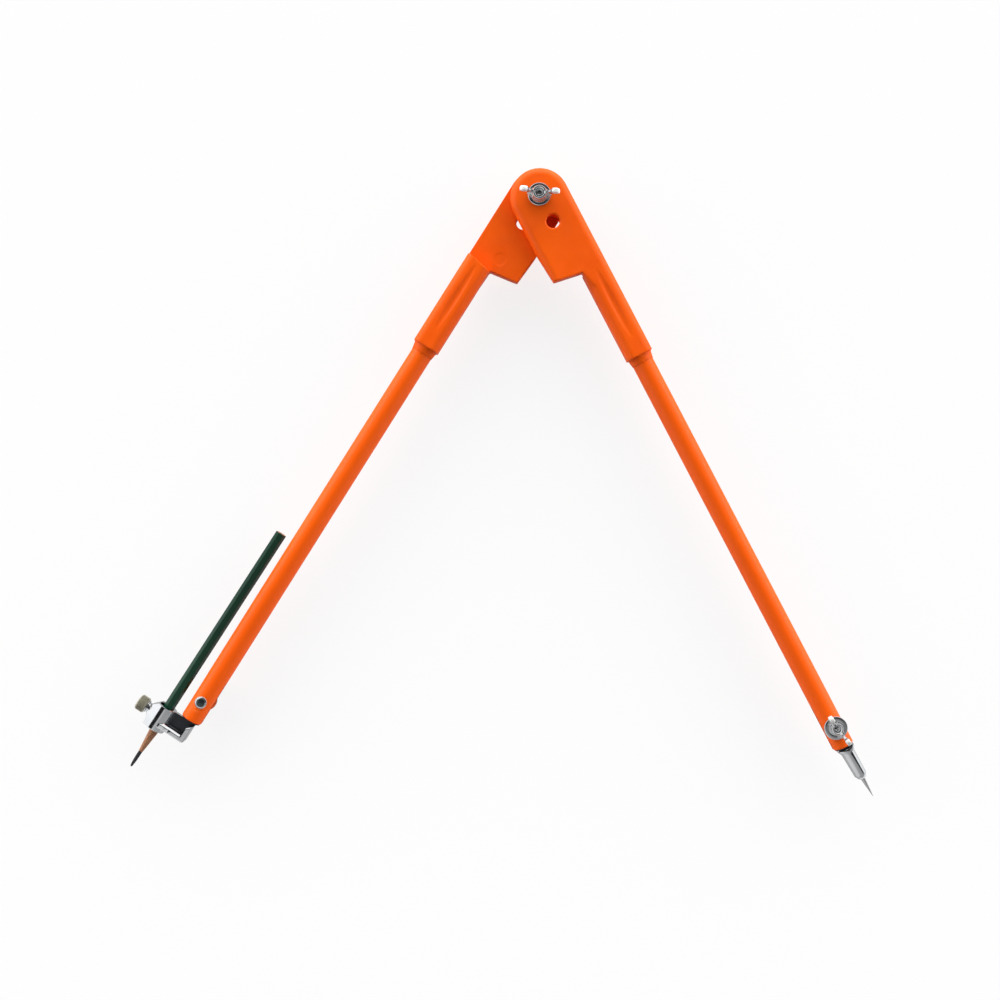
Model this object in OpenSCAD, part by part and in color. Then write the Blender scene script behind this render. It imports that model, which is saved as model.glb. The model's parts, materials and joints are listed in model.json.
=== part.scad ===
// Large carpenter's compass with a lap-jointed head, tube legs, a needle foot and a pencil foot.
// It lies on its back: +Z up towards the wing nut of the hinge, +Y from the feet to the head.
// Each leg is drawn hanging down -Y from the hinge axis, with +X outwards and +Z to its nut side.
// The two legs are the same, one of them turned over, so the plates meet in a half lap.

/* [Pose] */
// Angle between the legs as it lies, in degrees
opening = 59.8; // [10:0.1:120]
// Tilt of the needle foot, outwards, in degrees
needle_tilt = 2.2; // [-6:0.2:6]
// Tilt of the pencil foot, outwards, in degrees
pencil_tilt = 0.7; // [-6:0.1:1.2]

/* [Head] */
// Thickness of the closed head and of the sleeves
head_t = 17.8; // [16.8:0.2:20]
// Radius of the round top, half the width of a plate
head_r = 18.9; // [18.4:0.1:20]
// Distance from the hinge axis to the centre of the round top
round_at = 1.1; // [0:0.1:1.6]
// Rounding of the outer edges of plates and sleeves
edge_r = 5; // [3:0.5:6]
// Gap between the two plates
lap_gap = 0.3; // [0.2:0.1:0.6]
// Distance from the hinge axis to the low corner of a plate
plate_len = 53.7; // [52:0.1:55]
// How far the low corner is drawn in
corner_taper = 1.5; // [0.5:0.1:2]
// Slant of the lower end of a plate, in degrees
lap_slant = 9.7; // [6:0.1:12]
// Gap between a plate and the step of the other leg when closed
step_gap = 1.6; // [1:0.1:2]
// Diameter of the hanging hole
hang_hole_d = 8.7; // [6:0.1:11]
// Distance from the hinge axis to the hanging hole
hang_hole_at = 19.1; // [17:0.1:24]

/* [Sleeve] */
// Width of the sleeve that holds the tube
sleeve_w = 17.4; // [16.8:0.2:18.4]
// Distance from the hinge axis to the open end of the sleeve
sleeve_end = 120.5; // [110:0.5:130]
// Length of the tapered collar below the sleeve
collar_len = 5.5; // [3:0.5:9]
// Diameter of the collar where it leaves the sleeve
collar_d = 16.2; // [15.4:0.1:16.8]
// Depth of the long flutes in the sleeve
flute_depth = 0.8; // [0.3:0.1:0.9]
// Length of the flutes
flute_len = 50; // [30:1:54]

/* [Tubes] */
// Outer diameter of the tubes
tube_d = 14; // [13.4:0.1:14.4]
// Wall of the tubes
tube_wall = 1.4; // [1:0.1:1.6]
// Distance from the hinge axis to the open end of a tube
tube_end = 404; // [380:1:430]
// Distance from the clamp bolt to the open end of a tube
clamp_up = 14; // [13:0.5:16]
// Length of the clamping slits in the open end
slit_len = 30; // [26:1:40]
// Width of the clamping slits
slit_w = 3.4; // [3.3:0.1:4]

/* [Hinge fasteners] */
// Thread diameter of the hinge bolt
bolt_d = 5; // [4.8:0.1:5.2]
// Diameter of the washer under the hinge nut
washer_d = 14.8; // [12:0.1:16]
// Thickness of that washer
washer_t = 1.2; // [0.8:0.1:1.6]
// Span of the hinge wing nut
wing_span = 25.5; // [24:0.5:28]
// Turn of the hinge wing nut from the line across the head, in degrees
wing_turn = -2; // [-45:1:45]

/* [Clamp fasteners] */
// Thread diameter of the clamp bolts
clamp_d = 4; // [3.8:0.1:4.1]
// Diameter of the washers under the clamp nuts
clamp_washer_d = 15; // [10:0.1:15.4]
// Span of the clamp wing nuts
clamp_span = 22.5; // [20:0.5:23]
// Turn of the wings from the line of the leg, in degrees
clamp_turn = 9; // [-45:1:45]

/* [Needle foot] */
// Distance from the clamp bolt to the needle tip
needle_reach = 52; // [46:0.5:60]
// Diameter of the socket at its collar
socket_d = 8.9; // [8:0.1:9.4]
// Diameter of the needle
needle_d = 3.2; // [2.4:0.1:3.6]

/* [Pencil foot] */
// Distance between the pencil and the tube, axis to axis
pencil_off = 16.3; // [16:0.1:17]
// Outer radius of the loop round the pencil
loop_r = 7; // [6.6:0.1:7.4]
// Wall of the loop
loop_wall = 2.1; // [1.6:0.1:2.2]
// Height of the loop along the pencil
loop_h = 16.4; // [14:0.2:18]
// Depth of the rim in front of the plate
rim_depth = 5.3; // [3:0.1:5.4]
// Diameter of the knurled head
thumb_d = 10.4; // [10:0.1:13]
// Thickness of the knurled head
thumb_t = 6; // [5:0.1:9]
// Number of grooves round the knurled head
thumb_grooves = 36; // [24:4:40]

/* [Pencil] */
// Length of the pencil with its lead
pencil_len = 178.8; // [120:0.1:190]
// Diameter across the corners of the barrel
pencil_d = 7.2; // [6.8:0.1:7.3]
// Diameter of the lead
lead_d = 2.5; // [2:0.1:2.8]
// How far the lead tip stands below the clamp bolt
pencil_low = 60.8; // [52:0.1:70]

/* [Hidden] */
$fn = 72;
eps = 0.05;
big = 200;

// Fits
slide_gap = 0.05;
bolt_clearance = 0.06;
tube_fit = 0.03;

// Places along and across a leg
half = opening / 2;
leg_x = head_r - sleeve_w / 2;
clamp_at = tube_end - clamp_up;
plate_face = head_t / 2;
lap_face = lap_gap / 2;
tube_r = tube_d / 2;
bore_r = tube_r - tube_wall;
socket_top = 66;
slit_end = tube_end - slit_len;
flute_mid = 84;
flute_r = 4;
runout_len = 11;
hole_bevel = 0.65;

// Bolts, washers and nuts
neck_w = 5;
neck_len = 3.4;
bolt_head_d = 13;
bolt_head_h = 3;
boss_h = 5.6;
boss_d = 11;
boss_top_d = 8.8;
wing_h = 13;
wing_t = 2;
lobe_t = 3.4;
lobe_r = 3;
washer_z = plate_face + slide_gap;
nut_z = washer_z + washer_t + slide_gap;
bolt_end = nut_z + boss_h - 1.5;
clamp_washer_t = 1;
clamp_washer_z = tube_r + slide_gap;
clamp_nut_z = clamp_washer_z + clamp_washer_t + slide_gap;
clamp_boss_h = 4.6;
clamp_boss_d = 9.4;
clamp_boss_top_d = 7.4;
clamp_wing_h = 11;
clamp_bolt_end = clamp_nut_z + clamp_boss_h - 1.2;
clamp_head_d = 7.8;
clamp_head_h = 1.5;
clamp_neck_w = 4;

// Feet
tang_t = 3;
tang_w = 9;
funnel_top = 15.8;
funnel_rise = 1.6;
funnel_end = 19.7;
funnel_d = 11.9;
socket_end = 35.5;
nose_end = 38.3;
socket_low_d = 8.2;
needle_top = 24.5;
loop_x = -(pencil_off + 1.2);
loop_top = -15.4;
nose_x = -24.6;
nose_r = 3.3;
nose_face = -27.9;
screw_y = -22.6;
screw_tip = -(pencil_off + pencil_d / 2 + 0.15);
screw_washer_t = 0.8;
screw_washer_d = 8;
head_x = nose_face - screw_washer_t - 2 * slide_gap;
web_top = -15.4;
flange_top = -26.1;
flange_t = 2.7;
wall_x = 4.2;
wall_w = 3.3;
wall_top = -16;

// Pencil
barrel_top = pencil_len - pencil_low;
hex_turn = -11;
cone_top = -27.2;
cone_end = -49;
cone_low_r = 1.36;

// Footprint of the part, from the outermost points of the two feet, so that the origin is at its centre
function outward(u, v) = u * cos(half) + v * sin(half);
function downward(u, v) = v * cos(half) - u * sin(half);
left_x = outward(leg_x - head_x + thumb_t, clamp_at - screw_y + thumb_d / 2);
right_x = outward(leg_x + needle_reach * sin(needle_tilt), clamp_at + needle_reach * cos(needle_tilt));
low_y = max(downward(leg_x + needle_reach * sin(needle_tilt), clamp_at + needle_reach * cos(needle_tilt)),
    downward(leg_x + pencil_off, clamp_at + pencil_low));
head_top = head_r - round_at * cos(half);
rest_h = clamp_nut_z + clamp_wing_h;
hinge_at = [(left_x - right_x) / 2, (low_y - head_top) / 2, rest_h];

// Placing

module at_right_leg() {
    translate(hinge_at) rotate([0, 0, half]) children();
}

module at_left_leg() {
    translate(hinge_at) rotate([0, 0, -half]) rotate([0, 180, 0]) children();
}

module at_needle_foot() {
    at_right_leg() translate([leg_x, -clamp_at, 0]) rotate([0, 0, needle_tilt]) children();
}

// The pencil foot is drawn with its front up and the pencil on -X
module at_pencil_foot() {
    translate(hinge_at) rotate([0, 0, -half]) translate([-leg_x, -clamp_at, 0])
        rotate([0, 0, -pencil_tilt]) children();
}

// Points a solid's +Z down the leg, -Y
module down_leg(x = 0, y = 0, z = 0) {
    translate([x, y, z]) rotate([90, 0, 0]) children();
}

// Points a solid's +Z outwards from the pencil foot, -X
module outwards(x = 0, y = 0, z = 0) {
    translate([x, y, z]) rotate([0, -90, 0]) children();
}

// Outlines

// Half a plate's section: x across, y up from the lap
module plate_section(w, r) {
    translate([-w / 2, lap_face]) square([w, plate_face - r - lap_face]);
    translate([-w / 2 + r, lap_face]) square([w - 2 * r, plate_face - lap_face]);
    for (s = [-1, 1]) translate([s * (w / 2 - r), plate_face - r]) circle(r);
}

module rounded_square(w, h, r) {
    square([w - 2 * r, h], center = true);
    square([w, h - 2 * r], center = true);
    for (sx = [-1, 1], sy = [-1, 1]) translate([sx * (w / 2 - r), sy * (h / 2 - r)]) circle(r);
}

// Two circles on the x axis and the straight sides that touch both
module two_circles(x1, r1, x2, r2) {
    a = acos((r1 - r2) / abs(x1 - x2));
    s = x2 > x1 ? 1 : -1;
    translate([x1, 0]) circle(r1);
    translate([x2, 0]) circle(r2);
    polygon([[x1 + s * r1 * cos(a), r1 * sin(a)], [x2 + s * r2 * cos(a), r2 * sin(a)],
        [x2 + s * r2 * cos(a), -r2 * sin(a)], [x1 + s * r1 * cos(a), -r1 * sin(a)]]);
}

// Legs

// The half-lap plate: a turned round top and a straight body with rounded edges, cut to its outline
module lap_plate() {
    corner_x = -head_r + corner_taper;
    intersection() {
        union() {
            translate([0, -round_at, 0]) rotate_extrude() intersection() {
                plate_section(2 * head_r, edge_r);
                square([head_r, plate_face]);
            }
            down_leg(0, -round_at) linear_extrude(plate_len + 12) plate_section(2 * head_r, edge_r);
        }
        linear_extrude(plate_face + 1) union() {
            translate([0, -round_at]) circle(head_r);
            polygon([[-head_r, -round_at], [-head_r, -plate_len * 0.65], [corner_x, -plate_len],
                [head_r, -plate_len - (head_r - corner_x) * tan(lap_slant)], [head_r, -round_at]]);
        }
    }
}

// The sleeve, full thickness below the step that the other plate closes against
module sleeve() {
    step_y = -plate_len - step_gap;
    difference() {
        down_leg(leg_x, -plate_len + 8) linear_extrude(sleeve_end - plate_len + 8)
            rounded_square(sleeve_w, head_t, edge_r);
        translate([0, 0, lap_face - big]) linear_extrude(big) polygon([
            [0, big], [0, step_y - (head_r - corner_taper) * tan(lap_slant)],
            [head_r + 1, step_y - (-corner_taper - 1) * tan(lap_slant)], [head_r + 1, big]]);
        translate([0, -plate_len, -big / 2]) cube([head_r + 1, big, big]);
    }
    down_leg(leg_x, -sleeve_end + eps) cylinder(h = collar_len + eps, d1 = collar_d, d2 = tube_d + 0.4);
}

// The sleeve's rounded inner edge fades out towards the flat plate: a sloped facet fills its start
module edge_runout() {
    inner_x = leg_x - sleeve_w / 2;
    start_y = -plate_len - (inner_x + head_r - corner_taper) * tan(lap_slant) + 0.4;
    corner_fill = edge_r * (sqrt(2) - 1);
    intersection() {
        translate([inner_x, start_y - runout_len, plate_face - edge_r])
            cube([edge_r, runout_len, edge_r]);
        translate([inner_x, start_y, plate_face]) rotate([0, -45, 0])
            rotate([atan(corner_fill / runout_len), 0, 0]) translate([-10, -20, -20]) cube([20, 40, 20]);
    }
}

// A long shallow flute, deepest at its middle: a ring segment of large radius
module flute() {
    bend = flute_len * flute_len / 8 / flute_depth;
    sweep = flute_len / bend * 60;
    translate([leg_x, -flute_mid, plate_face - flute_depth + flute_r + bend])
        rotate([0, 90, 0]) rotate([0, 0, -sweep / 2])
            rotate_extrude(angle = sweep, $fn = 720) translate([bend, 0]) circle(flute_r, $fn = 48);
}

module head_moulding() {
    difference() {
        union() {
            lap_plate();
            sleeve();
            edge_runout();
        }
        flute();
        mirror([0, 0, 1]) flute();
        down_leg(leg_x, -socket_top) cylinder(h = sleeve_end, r = tube_r + tube_fit);
        cylinder(h = big, d = bolt_d + 2 * bolt_clearance + 0.02, center = true);
        translate([0, 0, plate_face - neck_len - 0.2 + 5])
            cube([neck_w + 0.15, neck_w + 0.15, 10], center = true);
        translate([0, -hang_hole_at, 0]) {
            cylinder(h = big, d = hang_hole_d, center = true);
            translate([0, 0, plate_face - hole_bevel])
                cylinder(h = hole_bevel + eps, d1 = hang_hole_d, d2 = hang_hole_d + 2 * (hole_bevel + eps));
        }
        translate([0, -47, -1]) cylinder(h = 1 + lap_face + 0.15, d = 8.3);
    }
}

module leg_tube() {
    edge = 0.7;
    len = tube_end - socket_top - 0.5;
    difference() {
        down_leg(leg_x, -tube_end + len) difference() {
            union() {
                cylinder(h = len - edge, r = tube_r);
                cylinder(h = len, r = tube_r - edge);
                translate([0, 0, len - edge])
                    rotate_extrude() translate([tube_r - edge, 0]) circle(edge, $fn = 24);
            }
            translate([0, 0, -1]) cylinder(h = len + 2, r = bore_r);
        }
        translate([leg_x, -slit_end, 0]) rotate([0, 90, 0]) cylinder(h = big, d = slit_w, center = true);
        translate([leg_x - big / 2, -tube_end - 1, -slit_w / 2])
            cube([big, tube_end + 1 - slit_end, slit_w]);
        translate([leg_x, -clamp_at, 0]) {
            cylinder(h = big, d = clamp_d + 0.15);
            translate([0, 0, -tube_r])
                cube([clamp_neck_w + 0.15, clamp_neck_w + 0.15, tube_r], center = true);
        }
    }
}

// Slotted plug that backs the thin wall where the clamp bolt squeezes it
module tube_plug() {
    plug_r = bore_r - tube_fit;
    top = slit_end - 3;
    difference() {
        down_leg(leg_x, -top) union() {
            cylinder(h = tube_end - top, r = plug_r);
            translate([0, 0, tube_end - top + slide_gap / 2]) cylinder(h = 0.6, r = tube_r - 0.6);
            cylinder(h = tube_end - top + 0.1, r = plug_r);
        }
        translate([leg_x - big / 2, -tube_end - 2, -slit_w / 2])
            cube([big, tube_end + 1.5 - slit_end, slit_w]);
        translate([leg_x, -clamp_at, 0]) cylinder(h = big, d = clamp_d + 0.15, center = true);
    }
}

// Fasteners

// Domed head on a square neck, with its head under z = 0 and its shank up to z = end
module carriage_bolt(d, end, head_d, head_h, neck, neck_h) {
    dome_r = (head_d * head_d / 4 + head_h * head_h) / 2 / head_h;
    intersection() {
        translate([0, 0, dome_r - head_h]) sphere(dome_r, $fn = 96);
        translate([0, 0, -head_h]) cylinder(h = head_h, d = head_d + 1);
    }
    translate([-neck / 2, -neck / 2, -eps]) cube([neck, neck, neck_h + eps]);
    cylinder(h = end - 0.6, d = d);
    translate([0, 0, end - 0.6 - eps]) cylinder(h = 0.6 + eps, d1 = d, d2 = d - 1.2);
}

module washer(outer, inner, t) {
    bevel = 0.2;
    difference() {
        union() {
            translate([0, 0, bevel]) cylinder(h = t - 2 * bevel, d = outer);
            cylinder(h = bevel, d1 = outer - 2 * bevel, d2 = outer);
            translate([0, 0, t - bevel]) cylinder(h = bevel, d1 = outer, d2 = outer - 2 * bevel);
        }
        translate([0, 0, -1]) cylinder(h = t + 2, d = inner);
    }
}

// A wing seen from the side, from inside the boss wall to inside its lobe
module wing_arm(span, h, r, low_r, high_r, boss) {
    lobe = [span / 2 - r, h - r];
    reach = r - 0.3;
    slope = 48;
    polygon([[low_r - 1.6, 1], [low_r + 0.3, 1.2],
        [lobe[0] + reach * cos(slope), lobe[1] - reach * sin(slope)],
        [lobe[0] - reach * cos(slope), lobe[1] + reach * sin(slope)],
        [high_r - 0.9, boss - 0.9]]);
}

// The flat round end of a wing, with rounded rims; it stands on edge, axis along Y
module wing_lobe(r, t) {
    rim = 0.7;
    rotate([90, 0, 0]) rotate_extrude() {
        translate([0, rim - t / 2]) square([r, t - 2 * rim]);
        translate([0, -t / 2]) square([r - rim, t]);
        for (s = [-1, 1]) translate([r - rim, s * (t / 2 - rim)]) circle(rim, $fn = 24);
    }
}

// Pressed wing nut: a stepped round boss, a rib on each side at its foot, and two wings
module wing_nut(d, span, h, low_d, high_d, boss, lobe, arm_t, lobe_w) {
    bore = d / 2 + slide_gap;
    foot = low_d / 2;
    neck = high_d / 2;
    rib_r = foot - 1;
    rib_x = foot + 2.6;
    a = acos((rib_r - arm_t / 2) / rib_x);
    difference() {
        union() {
            rotate_extrude() polygon([[bore - 0.5, 0], [foot - 0.3, 0], [foot, 0.3], [foot, 1.1],
                [foot - 0.5, 1.6], [neck + 0.3, boss - 1.9], [neck + 0.3, boss - 1.4], [neck, boss - 1.1],
                [neck, boss - 0.4], [neck - 0.4, boss], [bore - 0.5, boss]]);
            for (turn = [0, 180]) rotate([0, 0, turn]) {
                rotate([90, 0, 0]) linear_extrude(arm_t, center = true)
                    wing_arm(span, h, lobe, foot, neck, boss);
                translate([span / 2 - lobe, 0, h - lobe]) wing_lobe(lobe, lobe_w);
            }
            translate([0, 0, 0.7]) linear_extrude(2) polygon([for (sx = [-1, 1], k = [0 : 3])
                sx * [[0, rib_r], [rib_r * cos(a), rib_r * sin(a)], [rib_x, arm_t / 2 - 0.1],
                    [rib_x, 0.1 - arm_t / 2]][k]]);
        }
        translate([0, 0, -1]) cylinder(h = boss + 2, r = bore);
        translate([0, 0, boss - 0.6]) cylinder(h = 0.7, r1 = bore, r2 = bore + 0.7);
    }
}

module clamp_bolt() {
    translate([leg_x, -clamp_at, -tube_r - slide_gap])
        carriage_bolt(clamp_d, tube_r + slide_gap + clamp_bolt_end, clamp_head_d, clamp_head_h,
            clamp_neck_w, tube_wall - 0.05);
}

module clamp_washer() {
    translate([leg_x, -clamp_at, clamp_washer_z]) washer(clamp_washer_d, clamp_d + 0.16, clamp_washer_t);
}

module clamp_nut() {
    translate([leg_x, -clamp_at, clamp_nut_z]) rotate([0, 0, 90 + clamp_turn])
        wing_nut(clamp_d, clamp_span, clamp_wing_h, clamp_boss_d, clamp_boss_top_d, clamp_boss_h,
            lobe_r * clamp_span / wing_span, wing_t * 0.85, lobe_t * 0.85);
}

// Nodes of the legs

module left_head() {
    color("orangered") at_left_leg() head_moulding();
}

module right_head() {
    color("orangered") at_right_leg() head_moulding();
}

module left_tube() {
    color("orangered") at_left_leg() leg_tube();
}

module right_tube() {
    color("orangered") at_right_leg() leg_tube();
}

module left_tube_plug() {
    color("#1a1a1c") at_left_leg() tube_plug();
}

module right_tube_plug() {
    color("#1a1a1c") at_right_leg() tube_plug();
}

// Nodes of the hinge

module pivot_bolt() {
    color("silver") translate(hinge_at) translate([0, 0, -plate_face - slide_gap / 2])
        rotate([0, 0, -half])
            carriage_bolt(bolt_d, plate_face + bolt_end, bolt_head_d, bolt_head_h, neck_w, neck_len);
}

module pivot_washer() {
    color("silver") translate(hinge_at) translate([0, 0, washer_z])
        washer(washer_d, bolt_d + 0.16, washer_t);
}

module pivot_wing_nut() {
    color("silver") translate(hinge_at) translate([0, 0, nut_z]) rotate([0, 0, wing_turn])
        wing_nut(bolt_d, wing_span, wing_h, boss_d, boss_top_d, boss_h, lobe_r, wing_t, lobe_t);
}

// Nodes of the clamps

module left_clamp_bolt() {
    color("silver") at_left_leg() clamp_bolt();
}

module left_clamp_washer() {
    color("silver") at_left_leg() clamp_washer();
}

module left_clamp_wing_nut() {
    color("silver") at_left_leg() clamp_nut();
}

module right_clamp_bolt() {
    color("silver") at_right_leg() clamp_bolt();
}

module right_clamp_washer() {
    color("silver") at_right_leg() clamp_washer();
}

module right_clamp_wing_nut() {
    color("silver") at_right_leg() clamp_nut();
}

// Needle foot

// Tube pressed flat into a tang at the top, opening through a funnel to the round socket
module needle_holder() {
    color("silver") at_needle_foot() difference() {
        union() {
            translate([0, 0, -tang_t / 2]) linear_extrude(tang_t) {
                circle(d = tang_w);
                polygon([[-tang_w / 2, 0], [tang_w / 2, 0], [funnel_d / 2 - 0.3, -funnel_top],
                    [funnel_d / 2 - 0.3, -funnel_top - 1], [0.3 - funnel_d / 2, -funnel_top - 1],
                    [0.3 - funnel_d / 2, -funnel_top]]);
            }
            intersection() {
                down_leg(0, -funnel_top)
                    cylinder(h = funnel_end - funnel_top, d1 = funnel_d, d2 = socket_d);
                translate([-big / 2, 0, 0]) rotate([90, 0, 90]) linear_extrude(big) polygon([
                    [-funnel_top, tang_t / 2], [-funnel_top - funnel_rise, socket_d / 2 + 0.2],
                    [-funnel_end, socket_d / 2 + 0.2], [-funnel_end, -socket_d / 2 - 0.2],
                    [-funnel_top - funnel_rise, -socket_d / 2 - 0.2], [-funnel_top, -tang_t / 2]]);
            }
            down_leg(0, -funnel_end + eps)
                cylinder(h = socket_end - funnel_end + eps, d1 = socket_d, d2 = socket_low_d);
            down_leg(0, -socket_end)
                cylinder(h = nose_end - socket_end, d1 = socket_low_d, d2 = needle_d + 1.8);
        }
        cylinder(h = big, d = clamp_d + 0.12, center = true);
        down_leg(0, -needle_top + 0.5) cylinder(h = big, d = needle_d + 0.06);
    }
}

// Steel needle, ground to a long point
module needle() {
    point_top = nose_end - 1;
    tip_r = 0.15;
    color("gainsboro") at_needle_foot() {
        down_leg(0, -needle_top) cylinder(h = point_top - needle_top, d = needle_d);
        down_leg(0, -point_top)
            cylinder(h = needle_reach - tip_r - point_top, d1 = needle_d, d2 = 2 * tip_r);
        translate([0, -needle_reach + tip_r, 0]) sphere(tip_r, $fn = 24);
    }
}

// Pencil foot

// The loop round the pencil, drawn in towards the boss that the thumb screw goes through
module pencil_loop() {
    low = loop_top - loop_h;
    boss_r = nose_r - 0.05;
    intersection() {
        down_leg(0, loop_top) linear_extrude(loop_h) two_circles(loop_x, loop_r, nose_x, nose_r);
        translate([0, 0, -big / 2]) linear_extrude(big)
            polygon([[loop_x + loop_r + 1, loop_top + 1], [-21.5, loop_top + 1], [-22.2, loop_top],
                [nose_x - 1.9, screw_y + boss_r], [nose_x - 1.9, screw_y - boss_r],
                [-24.7, -29.2], [-24.7, low - 1], [loop_x + loop_r + 1, low - 1]]);
    }
    outwards(loop_x - loop_r + 1, screw_y, 0) cylinder(h = loop_x - loop_r + 1 - nose_face, r = boss_r);
}

// Tang, web, inner wall and lower flange in one casting with the loop
module pencil_bracket() {
    web_low = flange_top - flange_t;
    web_left = loop_x + 2;
    wall_in = wall_x - wall_w;
    rim_z = tang_t / 2 + rim_depth;
    corner_r = 1.6;
    bevel = 0.7;
    edge_cut = bevel * sqrt(2);
    difference() {
        translate([0, 0, -tang_t / 2]) linear_extrude(tang_t + rim_depth) {
            circle(d = tang_w);
            translate([-tang_w / 2, web_top - 1]) square([tang_w, 1 - web_top]);
            translate([web_left, web_low + corner_r])
                square([wall_x - web_left, web_top - web_low - corner_r]);
            translate([web_left, web_low]) square([wall_x - web_left - corner_r, corner_r + eps]);
            translate([wall_x - corner_r, web_low + corner_r]) circle(corner_r);
        }
        translate([0, 0, tang_t / 2]) linear_extrude(rim_depth + 1)
            polygon([[web_left - 1, flange_top], [wall_in, flange_top], [wall_in, wall_top - wall_w * 0.9],
                [wall_x + 1, wall_top + 0.9], [wall_x + 1, tang_w], [web_left - 1, tang_w]]);
        translate([wall_x, 0, rim_z]) rotate([0, 45, 0]) cube([edge_cut, big, edge_cut], center = true);
        translate([wall_x, wall_top, rim_z]) rotate([0, 0, atan(0.9)]) rotate([45, 0, 0])
            cube([big, edge_cut, edge_cut], center = true);
        translate([0, web_low, rim_z]) rotate([45, 0, 0]) cube([big, bevel, bevel], center = true);
    }
}

module pencil_holder() {
    color("silver") at_pencil_foot() difference() {
        union() {
            pencil_loop();
            pencil_bracket();
        }
        cylinder(h = big, d = clamp_d + 0.12, center = true);
        down_leg(loop_x) cylinder(h = big, r = loop_r - loop_wall, center = true);
        outwards(loop_x, screw_y, 0) cylinder(h = big, d = clamp_d + 0.1);
    }
}

module thumb_screw() {
    groove_r = 0.42;
    bevel = 0.8;
    color("darkkhaki") at_pencil_foot() outwards(0, screw_y, 0) {
        translate([0, 0, -screw_tip]) cylinder(h = -head_x + screw_tip + eps, d = clamp_d);
        translate([0, 0, -head_x]) difference() {
            union() {
                translate([0, 0, bevel]) cylinder(h = thumb_t - 2 * bevel, d = thumb_d);
                cylinder(h = bevel, d1 = thumb_d - 2 * bevel, d2 = thumb_d);
                translate([0, 0, thumb_t - bevel])
                    cylinder(h = bevel, d1 = thumb_d, d2 = thumb_d - 2 * bevel);
            }
            for (n = [0 : thumb_grooves - 1]) rotate([0, 0, n * 360 / thumb_grooves])
                translate([thumb_d / 2 + 0.1, 0, -1]) cylinder(h = thumb_t + 2, r = groove_r, $fn = 16);
            translate([0, 0, thumb_t - 0.6]) cylinder(h = 1, d = 5);
        }
    }
}

module thumb_screw_washer() {
    color("silver") at_pencil_foot() outwards(nose_face - slide_gap, screw_y, 0)
        washer(screw_washer_d, clamp_d + 0.16, screw_washer_t);
}

// Six-sided barrel, sharpened to a cone, with the lead's bore right through it
module pencil_barrel() {
    color("darkgreen") at_pencil_foot() translate([-pencil_off, 0, 0]) difference() {
        intersection() {
            down_leg(0, barrel_top) rotate([0, 0, hex_turn])
                cylinder(h = barrel_top - cone_end, d = pencil_d, $fn = 6);
            union() {
                down_leg(0, barrel_top) cylinder(h = barrel_top - cone_top + eps, d = pencil_d + 1);
                down_leg(0, cone_top)
                    cylinder(h = cone_top - cone_end, d1 = pencil_d + 0.05, d2 = 2 * cone_low_r);
            }
        }
        down_leg(0, barrel_top + 1) cylinder(h = big, d = lead_d + 0.04);
    }
}

module pencil_lead() {
    tip_r = 0.85;
    taper = 3.4;
    color("#2e2e30") at_pencil_foot() translate([-pencil_off, 0, 0]) {
        down_leg(0, barrel_top) cylinder(h = pencil_len - tip_r - taper, d = lead_d);
        down_leg(0, -pencil_low + tip_r + taper) cylinder(h = taper, d1 = lead_d, d2 = 2 * tip_r);
        translate([0, -pencil_low + tip_r, 0]) sphere(tip_r, $fn = 24);
    }
}

left_head();
right_head();
left_tube();
right_tube();
left_tube_plug();
right_tube_plug();
pivot_bolt();
pivot_washer();
pivot_wing_nut();
left_clamp_bolt();
left_clamp_washer();
left_clamp_wing_nut();
right_clamp_bolt();
right_clamp_washer();
right_clamp_wing_nut();
needle_holder();
needle();
pencil_holder();
thumb_screw();
thumb_screw_washer();
pencil_barrel();
pencil_lead();
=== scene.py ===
"""The looks of a large carpenter's compass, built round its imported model.

Sizes are in millimetres, in each piece's own drawing frame, as in the construction: a leg hangs down
-Y from the hinge axis with +X outwards and +Z to its nut side. Each finished mesh lies in its place in
metres and keeps its drawing coordinates in an attribute, which the textures follow. In the names of
sizes, _x, _y and _z are places along an axis, _d is a diameter, _r a radius, _w a width, _h a height and
_t a thickness.
"""
import json
import logging
import math
from dataclasses import dataclass, field
from enum import Enum
from typing import Callable, Sequence

import bmesh
import bpy
from mathutils import Matrix, Vector


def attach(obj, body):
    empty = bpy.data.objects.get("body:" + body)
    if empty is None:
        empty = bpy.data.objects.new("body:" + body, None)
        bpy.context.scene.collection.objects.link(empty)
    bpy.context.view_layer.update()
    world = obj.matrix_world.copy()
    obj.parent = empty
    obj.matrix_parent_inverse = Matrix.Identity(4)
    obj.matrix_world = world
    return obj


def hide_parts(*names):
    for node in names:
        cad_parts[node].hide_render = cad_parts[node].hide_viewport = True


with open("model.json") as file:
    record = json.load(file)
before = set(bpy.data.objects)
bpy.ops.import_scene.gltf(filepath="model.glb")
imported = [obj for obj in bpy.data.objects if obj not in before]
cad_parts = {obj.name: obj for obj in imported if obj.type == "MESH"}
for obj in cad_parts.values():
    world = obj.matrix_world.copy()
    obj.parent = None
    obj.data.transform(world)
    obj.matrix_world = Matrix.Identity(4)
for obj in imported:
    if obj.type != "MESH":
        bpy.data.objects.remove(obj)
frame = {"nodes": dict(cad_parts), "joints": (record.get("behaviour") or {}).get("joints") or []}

Point = tuple[float, float, float]
Ring = list[Point]
Colour = tuple[float, float, float]
Pair = tuple[float, float]
Profile = Sequence[Pair]
Piece = bpy.types.Object
Face = bpy.types.MeshPolygon
Shell = bmesh.types.BMesh
Node = bpy.types.Node
Socket = bpy.types.NodeSocket
Looks = tuple[Socket, Socket, Socket]

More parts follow.
